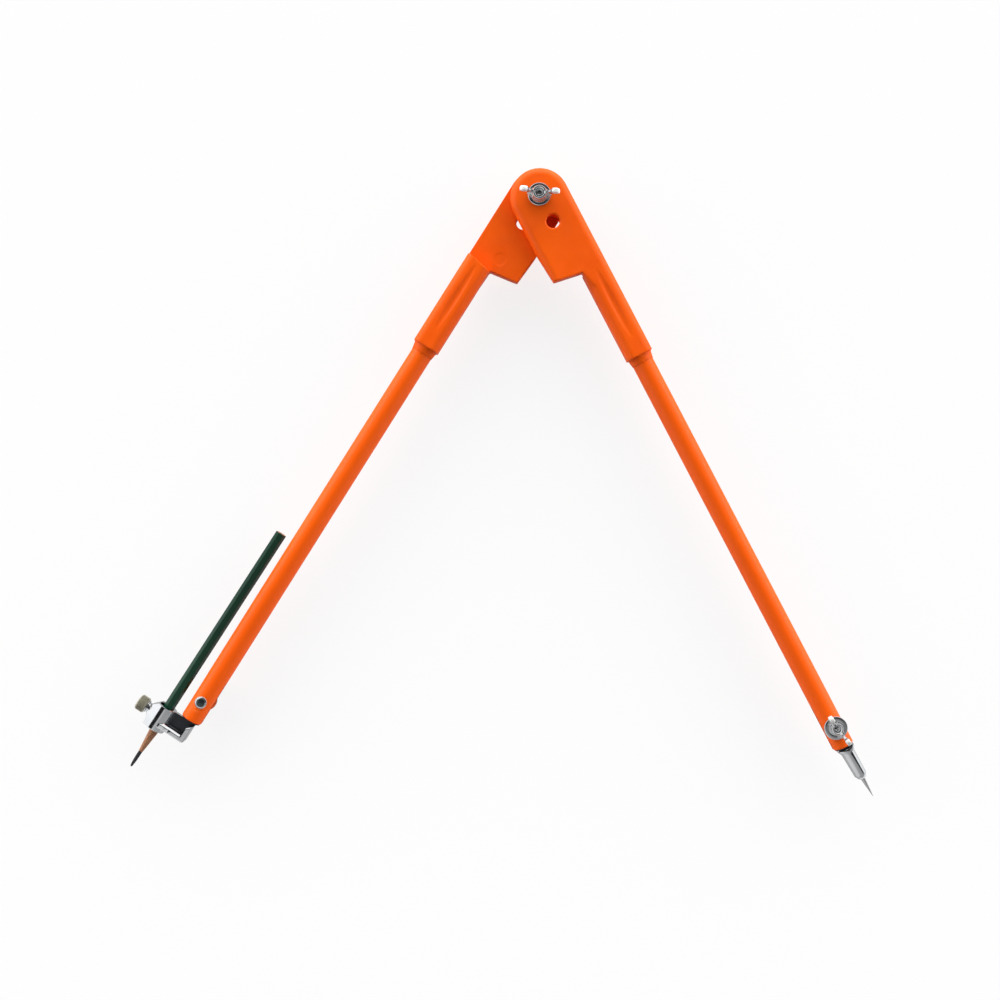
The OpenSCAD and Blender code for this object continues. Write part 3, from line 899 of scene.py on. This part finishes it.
@dataclass
class Fastener(Assembly):
    """A bolt, its washer and its wing nut.

    Args:
        bolt, washer, nut: node and body of each.
        place: the frame that the heights are measured in, with the nut side up.
        face: height of the face that the washer lies on; the bolt's head is as far below.
        head_gap: air between the head and its face.
        d, pitch: diameter and pitch of the thread.
        neck: width of the bolt's square neck.
        neck_d: diameter of the nut's boss.
        reach: height of the bolt's end over the wing nut's foot.
        span: width over both wings.
        boss: height of the boss.
        spin: turn of the wings, in degrees.
        pad: the whiter material of the wings' pads, a painted highlight.
        cap: finish of the middle of the domed head.
        square: turn of the square neck, in degrees.
    """

    bolt: tuple[str, str]
    washer: tuple[str, str]
    nut: tuple[str, str]
    place: Matrix
    face: float
    head_gap: float
    d: float
    pitch: float
    head_d: float
    head_h: float
    neck: float
    neck_h: float
    reach: float
    washer_d: float
    washer_t: float
    span: float
    wing_h: float
    foot_d: float
    neck_d: float
    boss: float
    spin: float
    pad: Finish
    cap: Finish
    square: float = 0.0

    HEAD_EDGE = ((0.12, -0.32), (0.0, -0.2), (0.05, -0.05), (0.2, 0.0))  # inset and height
    BOLT_END = ((0.35, 0.42), (0.7, 0.22), (1.05, 0.06), (1.25, 0.0))  # inset and drop

    @property
    def washer_z(self) -> float:
        """The height of the washer's lower face."""
        return self.face + GAP

    @property
    def nut_z(self) -> float:
        """The height of the wing nut's foot."""
        return self.washer_z + self.washer_t + GAP

    def build(self) -> None:
        """Builds the three pieces."""
        self.carriage_bolt()
        self.flat_washer()
        self.wing_nut()

    def threaded(self, low: float, high: float, count: int) -> list[Ring]:
        """Makes the rings of a real thread, which runs out at both ends.

        Args:
            low: where it starts.
            high: where it ends.
            count: points in each ring.

        Returns:
            The rings.
        """
        depth, per_turn = 0.6 * self.pitch, 10
        rows = max(2, round((high - low) / self.pitch * per_turn))
        rings = []
        for row in range(rows + 1):
            fade = min(1.0, row / per_turn, (rows - row) / per_turn)
            z = low + (high - low) * row / rows
            rings.append(thread_ring(self.d / 2, depth * fade, self.pitch, z, count))
        return rings

    def carriage_bolt(self) -> None:
        """Builds the bolt: dome, square neck, thread and chamfered end, in one skin."""
        count, steps, rim, shank, half = 64, 14, self.head_d / 2, self.d / 2, self.neck / 2

        def neck(z: float, inset: float) -> Ring:
            """Returns a ring of the square neck, its corners clipped."""
            return outline(lambda a: min((half - inset) / max(abs(math.cos(a)), abs(math.sin(a))),
                                         half * 1.34 - inset), z, count, 0.5)

        head_z = -self.face - self.head_gap
        top = self.nut_z + self.reach - head_z
        ball = (rim ** 2 + self.head_h ** 2) / 2 / self.head_h
        dome = [(r, ball - self.head_h - math.sqrt(ball * ball - r * r))
                for r in (rim * i / steps for i in range(1, steps))]
        dome += [(rim - inset, z) for inset, z in self.HEAD_EDGE]
        rings = [circle(r, z, count) for r, z in dome]
        rings += [neck(0.0, 0.0), neck(self.neck_h - 0.3, 0.0), neck(self.neck_h, 0.3)]
        rings.append(circle(shank, self.neck_h + 0.1, count))
        rings += self.threaded(self.neck_h + 1.0, top - 0.5, count)
        rings += [circle(shank - inset, top - drop, count) for inset, drop in self.BOLT_END]
        rings.append(circle(0.3, top - 0.3, count))
        obj = raw_piece(self.bolt[0] + "_threaded", skin(rings))
        cap_r = self.head_d * 0.35
        self.keep(obj, self.place @ shift(0, 0, head_z) @ turn("Z", self.square), self.bolt[1], self.bolt[0],
                  BRIGHT_ZINC, 35, self.cap,
                  lambda face: face.center.z < 0 and face.center.xy.length < cap_r)

    def flat_washer(self) -> None:
        """Builds the washer with one rolled and one sheared edge, as a punch leaves them."""
        outer, inner, t = self.washer_d / 2, self.d / 2 + 0.08, self.washer_t
        walls = [(inner + 0.18, 0), (outer - 0.1, 0), (outer, 0.1), *rounding(outer, t, 0.7, 0.6),
                 (inner + 0.25, t), (inner + 0.06, t - 0.08), (inner, t - 0.25), (inner, 0.18)]
        obj = raw_piece(self.washer[0] + "_punched", turned(walls, True))
        place = self.place @ shift(0, 0, self.washer_z)
        self.keep(obj, place, self.washer[1], self.washer[0], BRIGHT_ZINC, 28)

    def wing(self) -> Shell:
        """Makes one wing: a rising web that ends in a round, thicker pad.

        Returns:
            The wing, on the +X side.
        """
        size = self.span / 26
        lobe = 3.0 * size
        end = Vector((self.span / 2 - lobe, self.wing_h - lobe))
        start = Vector((self.neck_d / 2 - 1.2, self.boss * 0.45))
        way = (end - start).normalized()
        across = Vector((-way.y, way.x))
        reach = (end - start).length
        stations = []
        for t in (i / 8 for i in range(9)):
            wide = (2.5 - 0.675 * math.sin(math.pi * min(1.0, t * 1.25))) * size
            stations.append((start + way * reach * t * 0.72, wide, (1.0 + 0.12 * t) * size))
        for s in (-0.86 + 1.85 * i / 14 for i in range(2, 15)):
            wide = lobe * math.sqrt(max(0.02, 1 - s * s))
            thick = (1.2 + 0.5 * min(1.0, (s + 0.86) * 1.6)) * size * (1 - max(0.0, s) ** 9 * 0.4)
            stations.append((end + way * lobe * s, wide, thick))
        return skin([[(at.x + across.x * u, v, at.y + across.y * u)
                      for u, v in oval(wide, thick, 0.6, 28)] for at, wide, thick in stations])

    def wing_nut(self) -> None:
        """Builds the wing nut: a stepped boss with a rib on each side, and two wings run into it."""
        bore, foot, neck, h = self.d / 2 + 0.05, self.foot_d / 2, self.neck_d / 2, self.boss
        boss = turned([
            (bore, 0.4), (bore + 0.4, 0), (foot - 0.35, 0), (foot, 0.35), (foot, 1.0), (foot - 0.35, 1.5),
            (neck + 0.6, 1.9), (neck + 0.25, h - 1.9), (neck + 0.3, h - 1.3), (neck, h - 1.0),
            (neck, h - 0.35), (neck - 0.4, h), (bore + 0.7, h), (bore, h - 0.7)], True)
        slant = foot * 0.62
        rib = [(0.0, foot - 0.9), (-slant, slant), (-foot - 2.4, 0.9), (-foot - 2.4, -0.9), (-slant, -slant)]
        rib += [(-x, -y) for x, y in rib]
        web = skin([[(x, y, z) for x, y in rib] for z in (0.8, 2.6)])
        hole = turned([(bore, -1), (bore, h + 1)], count=64)
        wings = [moved(self.wing(), turn("Z", 180 * i)) for i in range(2)]
        obj = raw_piece(self.nut[0] + "_pressed", joined([boss, web, *wings]))
        smoothed(obj, 1, self.span / 140)
        cut_out(obj, hole)
        smoothed(obj, 4, self.span / 165)
        # The pads at the wings' outer tops get the whiter pad material, a painted highlight.
        pad_x, pad_z = self.span * 0.31, self.wing_h - 3.4
        self.keep(obj, self.place @ shift(0, 0, self.nut_z) @ turn("Z", self.spin), self.nut[1], self.nut[0],
                  BRIGHT_ZINC, 50, self.pad,
                  lambda face: abs(face.center.x) > pad_x and face.center.z > pad_z)


@dataclass
class NeedleFoot(Assembly):
    """The needle and its socket, which is a tube pressed flat at the top.

    Args:
        place: the foot's drawing frame, at the clamp bolt.
        tang, flare: half the width of the flat top, and of the funnel's rim.
        socket, socket_low: radius of the sleeve at its top and at its end.
        bore, shoulder, reach: how far down the needle's bore, its ground point and its tip are.
    """

    place: Matrix
    tang: float = 4.5
    tang_t: float = 1.5
    flare: float = 5.85
    socket: float = 4.45
    socket_low: float = 4.1
    bolt_r: float = 2.06
    bore: float = 24.0
    needle_r: float = 1.6
    shoulder: float = 37.3
    reach: float = 52.0

    def build(self) -> None:
        """Builds both pieces."""
        self.socket_tube()
        self.needle()

    def socket_tube(self) -> None:
        """Builds the socket: rings that pass from a flat tang through a flared funnel to a round sleeve.

        Each row holds how far down a ring lies, half its width, half its thickness and how square it is,
        which is 2 where it is round.
        """
        tang, flat = self.tang, self.tang_t
        rows = [(-tang + 0.05 + tang * i / 6, tang * math.sqrt(max(0.01, 1 - (1 - i / 6) ** 2)), flat, 5.0)
                for i in range(7)]
        rows += [(6.0, tang, flat, 5.0), (12.0, 5.0, flat, 4.8), (14.6, 5.45, flat, 4.6),
                 (15.75, 5.75, flat + 0.05, 4.3), (15.85, self.flare, 3.2, 3.8),
                 (16.05, self.flare, 4.1, 3.3), (16.5, 5.75, 4.45, 2.9), (17.3, 5.45, 4.5, 2.5),
                 (18.3, 4.98, 4.5, 2.2), (19.1, 4.65, 4.48, 2.05)]
        rows += [(y, r, r, 2.0) for y, r in ((19.8, self.socket), (35.0, self.socket_low), (35.6, 4.0),
                                             (36.2, 3.75), (38.1, 2.6), (38.3, 2.35))]
        rings = [[(u, v, y) for u, v in oval(wide, thick, 2 / square, 96)]
                 for y, wide, thick, square in rows]
        down = pointed(Way.DOWN_LEG)
        obj = raw_piece("needle_holder_socket", moved(skin(rings), down))
        bore = moved(drill(self.needle_r + GAP, self.bore, self.bore + 16), down)
        cut_out(obj, joined([drill(self.bolt_r, -5, 5), bore]))
        self.keep(obj, self.place, "needle_foot", "needle_holder", CAST_METAL)

    def needle(self) -> None:
        """Builds the needle with its long ground point."""
        r, top = self.needle_r, self.bore + 0.5
        point = [(r * (1 - t) ** 0.93 + 0.13 * t, self.shoulder + (self.reach - 0.12 - self.shoulder) * t)
                 for t in (i / 16 for i in range(17))]
        rod = [(r - 0.3, top), (r, top + 0.3), (r, 30.0)] + point + [(0.05, self.reach)]
        obj = raw_piece("needle_ground", turned(rod, count=64))
        self.keep(obj, self.place @ pointed(Way.DOWN_LEG), "needle_foot", "needle", NEEDLE_STEEL, 45)


@dataclass
class PencilFoot(Assembly):
    """The cast foot for the pencil, its thumb screw, and the pencil.

    Args:
        place: the foot's drawing frame, at the clamp bolt, with its front up.
        lean: how much the rim rises for each millimetre up the leg.
        pocket_from, pocket_low: where the open pocket starts across, and ends down the leg.
        screw_y: where the thumb screw lies.
        head_x, tip_x, washer_x: how far outwards its knurled head, its tip and its washer are.
        barrel_top, low: how far up and down the pencil reaches.
        corner_r: radius of the barrel over its corners.
        hex_turn: turn of the barrel, in degrees.
        cone_top, cone_end: how far down the cut cone starts, under the corners, and ends.
    """

    place: Matrix
    rim_z: float = 6.8
    floor_z: float = 1.5
    lean: float = 0.04
    pocket_from: float = -14.6
    pocket_low: float = -25.9
    screw_y: float = -22.6
    head_x: float = 28.8
    head_t: float = 6.0
    head_r: float = 5.2
    grooves: int = 44
    groove: float = 0.42
    tip_x: float = 20.05
    screw_r: float = 2.0
    pitch: float = 0.7
    washer_x: float = 27.95
    barrel_top: float = 118.0
    corner_r: float = 3.6
    hex_turn: float = -11.0
    lead_r: float = 1.25
    cone_top: float = 27.2
    cone_end: float = 49.0
    cone_low_r: float = 1.36
    low: float = 60.8

    RAMP = ((-27.6, 1.0), (-24.75, 1.0), (-24.75, 5.0), (-24.95, 5.5), (-25.95, 6.6), (-26.3, 6.75),
            (-27.6, 6.75))  # along the leg and up
    WORN_TIP = ((1.19, 5.8), (1.07, 3.8), (0.89, 2.1), (0.76, 1.1), (0.62, 0.5), (0.4, 0.15),
                (0.15, 0.0))  # radius and height over the lead's point

    @property
    def screw_place(self) -> Matrix:
        """The frame of the thumb screw, with +Z outwards."""
        return self.place @ shift(0, self.screw_y) @ pointed(Way.OUTWARDS)

    @property
    def pencil_place(self) -> Matrix:
        """The frame of the pencil, with +Z to its point."""
        return self.place @ shift(-LAYOUT.pencil_off) @ pointed(Way.DOWN_LEG)

    def build(self) -> None:
        """Builds the five pieces."""
        self.bracket()
        self.screw()
        self.screw_washer()
        self.barrel()
        self.lead()

    def bracket(self) -> None:
        """Builds the casting: soft edges, a leaning rim, a sloped inner side of the flange, and a pocket
        floor darkened as painted shade.
        """
        obj = from_node("pencil_holder_casting", "pencil_holder", self.place)
        shell = bmesh.new()
        shell.from_mesh(obj.data)
        ramp = skin([[(x, y, z) for y, z in self.RAMP] for x in (-14.4, 0.3)])
        shell = joined([shell, ramp])
        bmesh.ops.recalc_face_normals(shell, faces=shell.faces)
        shell.to_mesh(obj.data)
        shell.free()
        smoothed(obj, 3, 0.2)
        for vertex in obj.data.vertices:
            along = min(1.0, (vertex.co.x - self.pocket_from) / 3)
            above = min(1.0, vertex.co.z - self.rim_z + 1.5)
            if along > 0 and above > 0:
                vertex.co.z += self.lean * along * above * (vertex.co.y - self.screw_y)
        # The pocket floor gets the dark material, painted shade.
        self.keep(obj, self.place, "pencil_foot", "pencil_holder", CAST_METAL, 50, POCKET_SHADE_CASTING,
                  self.in_pocket)

    def in_pocket(self, face: Face) -> bool:
        """Finds the floor of the pocket, which gets a dark metal as painted shade.

        Args:
            face: a face in the drawing frame.

        Returns:
            Whether it lies on that floor.
        """
        at = face.center
        inside = at.x > self.pocket_from and at.y > self.pocket_low and at.z < self.floor_z + 0.4
        return inside and face.normal.z > 0.6

    def screw(self) -> None:
        """Builds the thumb screw: threaded shank and straight-knurled head, in one skin."""
        t, count, per_turn = self.head_t, self.grooves * 8, 8
        rings = [circle(1.2, self.tip_x, count)]
        for row in range(round((self.head_x - self.tip_x - 0.8) / self.pitch * per_turn) + 1):
            z = self.tip_x + 0.5 + row * self.pitch / per_turn
            rings.append(thread_ring(self.screw_r, 0.4, self.pitch, z, count))
        rings.append(circle(self.screw_r, self.head_x, count))
        head = ((0.0, -1.2, 0.0), (0.0, -0.8, 0.0), (0.25, -0.45, 0.35), (0.8, 0.0, 1.0), (t - 0.8, 0.0, 1.0),
                (t - 0.25, -0.45, 0.35), (t, -0.8, 0.0), (t, -3.1, 0.0), (t - 0.35, -3.3, 0.0),
                (t - 0.5, -3.9, 0.0))  # height, step inwards and share of the grooves' depth
        rings += [outline(lambda a: self.head_r + inset - self.groove * depth * (
            1 - abs(a * self.grooves / math.tau % 1.0 - 0.5) * 2) ** 0.8, self.head_x + z, count)
                  for z, inset, depth in head]
        rings.append(circle(0.6, self.head_x + t - 0.5, count))
        obj = raw_piece("thumb_screw_knurled", skin(rings))
        self.keep(obj, self.screw_place, "thumb_screw", "thumb_screw", KNURLED_METAL, 25)

    def screw_washer(self) -> None:
        """Builds the small washer under the knurled head."""
        x, t, outer, inner = self.washer_x, 0.8, 4.0, 2.08
        top = x + t
        walls = [(inner, x + 0.1), (inner + 0.1, x), (outer - 0.1, x), (outer, x + 0.1), (outer, top - 0.22),
                 (outer - 0.22, top), (inner + 0.15, top), (inner, top - 0.15)]
        obj = raw_piece("thumb_screw_washer_punched", turned(walls, True, 72))
        self.keep(obj, self.screw_place, "screw_washer", "thumb_screw_washer", BRIGHT_ZINC, 28)

    def hexagon(self, angle: float) -> float:
        """Returns the radius of the six-sided barrel at an angle, its corners slightly rounded."""
        off = (angle - math.radians(self.hex_turn)) % math.radians(60) - math.radians(30)
        return min(self.corner_r * math.cos(math.radians(30)) / math.cos(off), self.corner_r * 0.985)

    def barrel(self) -> None:
        """Builds the painted barrel with the scalloped edge that sharpening leaves, and its wooden cone."""
        count, painted_rows, cone_rows = 144, 6, 12
        angles = [math.tau * i / count for i in range(count)]
        wide = self.corner_r + 0.03
        slope = (wide - self.cone_low_r) / (self.cone_end - self.cone_top)
        outer = [self.hexagon(a) for a in angles]
        meet = [self.cone_top + (wide - r) / slope for r in outer]

        def ring(radii: Sequence[float], depths: Sequence[float]) -> Ring:
            """Returns a ring from a radius and a depth at each angle."""
            return [(r * math.cos(a), r * math.sin(a), z) for a, r, z in zip(angles, radii, depths)]

        bore, top = [self.lead_r + 0.02] * count, -self.barrel_top
        rings = [ring(bore, [top] * count), ring([r - 0.15 for r in outer], [top] * count),
                 ring(outer, [top + 0.12] * count)]
        for k in range(1, painted_rows + 1):
            rings.append(ring(outer, [top + (m - top) * k / painted_rows for m in meet]))
        for k in range(1, cone_rows + 1):
            depths = [m + (self.cone_end - m) * k / cone_rows for m in meet]
            rings.append(ring([wide - (z - self.cone_top) * slope for z in depths], depths))
        rings.append(ring(bore, [self.cone_end] * count))
        obj = raw_piece("pencil_barrel_sharpened", skin(rings, True))
        self.keep(obj, self.pencil_place, "pencil", "pencil_barrel", PENCIL_PAINT, 20, PENCIL_WOOD,
                  lambda face: not 1 <= face.index // count <= painted_rows + 1)

    def lead(self) -> None:
        """Builds the lead, worn to a short blunt point."""
        r, top = self.lead_r, -self.barrel_top
        rod = [(r - 0.1, top), (r, top + 0.1), (r, self.cone_end), (r - 0.02, self.cone_end + 2.0)]
        rod += [(radius, self.low - up) for radius, up in self.WORN_TIP]
        obj = raw_piece("pencil_lead_worn", turned(rod, count=64))
        self.keep(obj, self.pencil_place, "pencil", "pencil_lead", GRAPHITE, 40)


# Studio


@dataclass(frozen=True)
class Studio:
    """The pale floor, the soft light and the camera of the photograph.

    Args:
        height: height of the camera over the hinge, in millimetres.
        focal: focal length in pixels of the photograph.
        roll: how far the photograph is turned, in degrees.
        seen: the hinge's place in the frame, in pixels from its top left.
        paper: how pale the floor is.
        glow: how much of the floor is plain white to the camera and in the metal.
        sheets: where the floor turns from grey to white at the sides, as metal sees it, in metres.
        sky: the plain level of light from all round.
        sides: how much more light comes from low down on all sides.
        lean: how much more of that comes from beyond the head than from the feet.
        dark, dark_y: what metal sees overhead, above the feet and above the head, and where it changes.
        rim: what metal sees low down at the sides.
        slope, ceiling: how the edge of the dark ceiling runs, and where it starts and ends.
        near, near_x: what metal sees over the feet, at the left and at the right, and where it changes.
        tilt, room: how the edge of that grey room runs, and where it starts and ends.
    """

    height: float = 800.0
    focal: float = 1240.0
    roll: float = 2.3
    seen: Pair = (538.8, 197.7)
    floor_half: float = 6.0
    floor_drop: float = 0.0002
    paper: float = 0.9
    glow: float = 0.78
    sheets: Pair = (0.235, 0.26)
    sky: float = 0.1
    sides: float = 3.8
    lean: float = 1.3
    dark: Pair = (0.012, 0.09)
    dark_y: Pair = (0.1, 0.4)
    rim: float = 1.2
    slope: Point = (0.2, 0.0, 1.0)
    ceiling: Pair = (0.48, 0.56)
    near: Pair = (0.75, 0.4)
    near_x: Pair = (-0.25, 0.15)
    tilt: Point = (-0.143, 1.0, 0.0)
    room: Pair = (-0.225, -0.165)

    def build(self) -> None:
        """Sets up the whole studio."""
        self.camera()
        self.floor()
        self.light()
        bpy.context.scene.view_settings.view_transform = "Standard"

    def camera(self) -> None:
        """Places the camera straight over the part."""
        data = bpy.data.cameras.new("camera")
        data.sensor_width = 36.0
        data.lens = data.sensor_width * self.focal / FRAME_PX
        data.clip_start, data.clip_end = 0.01, 20
        obj = bpy.data.objects.new("camera", data)
        bpy.context.scene.collection.objects.link(obj)
        pixel, middle = self.height / self.focal, FRAME_PX / 2
        across, up = (self.seen[0] - middle) * pixel, (middle - self.seen[1]) * pixel
        rolled = turn("Z", self.roll)
        away = rolled @ Vector((across, up, -self.height)) * MM
        obj.matrix_world = Matrix.Translation(LAYOUT.hinge - away) @ rolled
        bpy.context.scene.camera = obj

    def floor(self) -> None:
        """Lays a white floor that keeps the part's soft shadow."""
        half, mesh = self.floor_half, bpy.data.meshes.new("floor")
        mesh.from_pydata([(-half, -half, 0), (half, -half, 0), (half, half, 0), (-half, half, 0)], [],
                         [range(4)])
        obj = bpy.data.objects.new("floor", mesh)
        obj.location.z = -self.floor_drop
        bpy.context.scene.collection.objects.link(obj)
        mesh.materials.append(self.floor_paper())

    def floor_paper(self) -> bpy.types.Material:
        """Makes the floor's material: it takes the shadow, and metal sees it grey between the legs.

        Returns:
            The material.
        """
        material = bpy.data.materials.new("floor_paper")
        material.use_nodes = True
        tree = material.node_tree
        graph = Graph(tree)
        tree.nodes.remove(tree.nodes["Principled BSDF"])
        paper = graph.add("BsdfDiffuse", {"Color": (self.paper, self.paper, self.paper, 1)})
        across = graph.add("SeparateXYZ", {0: graph.add("NewGeometry").outputs["Position"]}).outputs["X"]
        sheets = graph.ranged(graph.calc("ABSOLUTE", across), *self.sheets, self.near[1], 1.0)
        path = graph.add("LightPath").outputs
        level = graph.calc("MAXIMUM", path["Is Camera Ray"], sheets)
        glow = graph.add("Emission", {"Color": WHITE, "Strength": level})
        mirror = graph.calc("MAXIMUM", path["Is Glossy Ray"], path["Is Transmission Ray"])
        share = graph.calc("MULTIPLY", graph.calc("MAXIMUM", path["Is Camera Ray"], mirror), self.glow)
        mix = graph.add("MixShader", {0: share, 1: paper.outputs[0], 2: glow.outputs[0]})
        graph.put(tree.nodes["Material Output"], "Surface", mix.outputs[0])
        return material

    def light(self) -> None:
        """Lights the part evenly; metal sees a dark ceiling, white sides and a grey room over the feet."""
        world = bpy.data.worlds.new("studio")
        bpy.context.scene.world = world
        world.use_nodes = True
        graph = Graph(world.node_tree)
        seen = graph.add("TexCoord").outputs["Generated"]
        way = graph.add("SeparateXYZ", {0: seen}).outputs

        def against(line: Point) -> Socket:
            """Returns how far the direction seen goes along a line."""
            return graph.add("VectorMath", {0: seen, 1: line}, operation="DOT_PRODUCT").outputs["Value"]

        dark = graph.ranged(way["Y"], *self.dark_y, *self.dark)
        ceiling = graph.ranged(against(self.slope), *self.ceiling, self.rim, dark)
        near = graph.ranged(way["X"], *self.near_x, *self.near)
        room = graph.blend(graph.ranged(against(self.tilt), *self.room, 1.0, 0.0), ceiling, near)
        level = graph.calc("SUBTRACT", 1.0, graph.calc("MULTIPLY", way["Z"], way["Z"]))
        low = graph.calc("POWER", level, 3.0)
        ahead = graph.calc("MAXIMUM", graph.calc("MULTIPLY_ADD", way["Y"], self.lean, 1.0), 0.0)
        side = graph.calc("MULTIPLY", graph.calc("MULTIPLY", low, ahead), self.sides)
        path = graph.add("LightPath").outputs
        light = graph.blend(path["Is Glossy Ray"], graph.calc("ADD", side, self.sky), room)
        graph.put(world.node_tree.nodes["Background"], "Color",
                  graph.blend(path["Is Camera Ray"], light, WHITE))


def hinge_fastener() -> Fastener:
    """Returns the bolt, washer and wing nut of the hinge."""
    return Fastener(
        bolt=("pivot_bolt", "left_leg"), washer=("pivot_washer", "hinge_washer"),
        nut=("pivot_wing_nut", "hinge_nut"), place=LAYOUT.middle, face=8.9, head_gap=GAP / 2,
        d=5.0, pitch=0.8, head_d=13.0, head_h=3.0, neck=5.0, neck_h=3.4, reach=4.1,
        washer_d=14.8, washer_t=1.2, span=25.5, wing_h=13.0, foot_d=11.0, neck_d=8.8, boss=5.6, spin=-2.0,
        pad=HINGE_PAD_HIGHLIGHT_ZINC, cap=BRIGHT_ZINC, square=-LAYOUT.half)


def clamp_fastener(side: str, leg: Matrix) -> Fastener:
    """Makes the bolt, washer and wing nut that clamp one foot.

    Args:
        side: left or right, as the nodes are named.
        leg: the leg's drawing frame.

    Returns:
        The fastener.
    """
    name = side + "_clamp_"
    return Fastener(
        bolt=(name + "bolt", side + "_leg"), washer=(name + "washer", name + "washer"),
        nut=(name + "wing_nut", name + "nut"), place=leg @ shift(LAYOUT.leg_x, -LAYOUT.clamp_at),
        face=7.0, head_gap=GAP, d=4.0, pitch=0.7, head_d=7.8, head_h=1.5, neck=4.0, neck_h=1.35, reach=3.4,
        washer_d=15.0, washer_t=1.0, span=22.5, wing_h=11.0, foot_d=9.4, neck_d=7.4, boss=4.6, spin=99.0,
        pad=CLAMP_PAD_HIGHLIGHT_ZINC, cap=DARK_ZINC)


def corners(box: tuple[Vector, Vector]) -> list[list[float]]:
    """Returns a box's two corners as plain lists."""
    return [[float(v) for v in corner] for corner in box]


def main() -> None:
    """Builds the compass and its studio."""
    logging.basicConfig(level=logging.INFO, format="%(message)s")
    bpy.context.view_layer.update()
    assemblies = [
        Leg("left", LAYOUT.left_leg),
        Leg("right", LAYOUT.right_leg),
        hinge_fastener(),
        clamp_fastener("left", LAYOUT.left_leg),
        clamp_fastener("right", LAYOUT.right_leg),
        NeedleFoot(LAYOUT.needle_foot),
        PencilFoot(LAYOUT.pencil_foot),
    ]
    for assembly in assemblies:
        assembly.build()
    Studio().build()


if __name__ == "__main__":
    main()
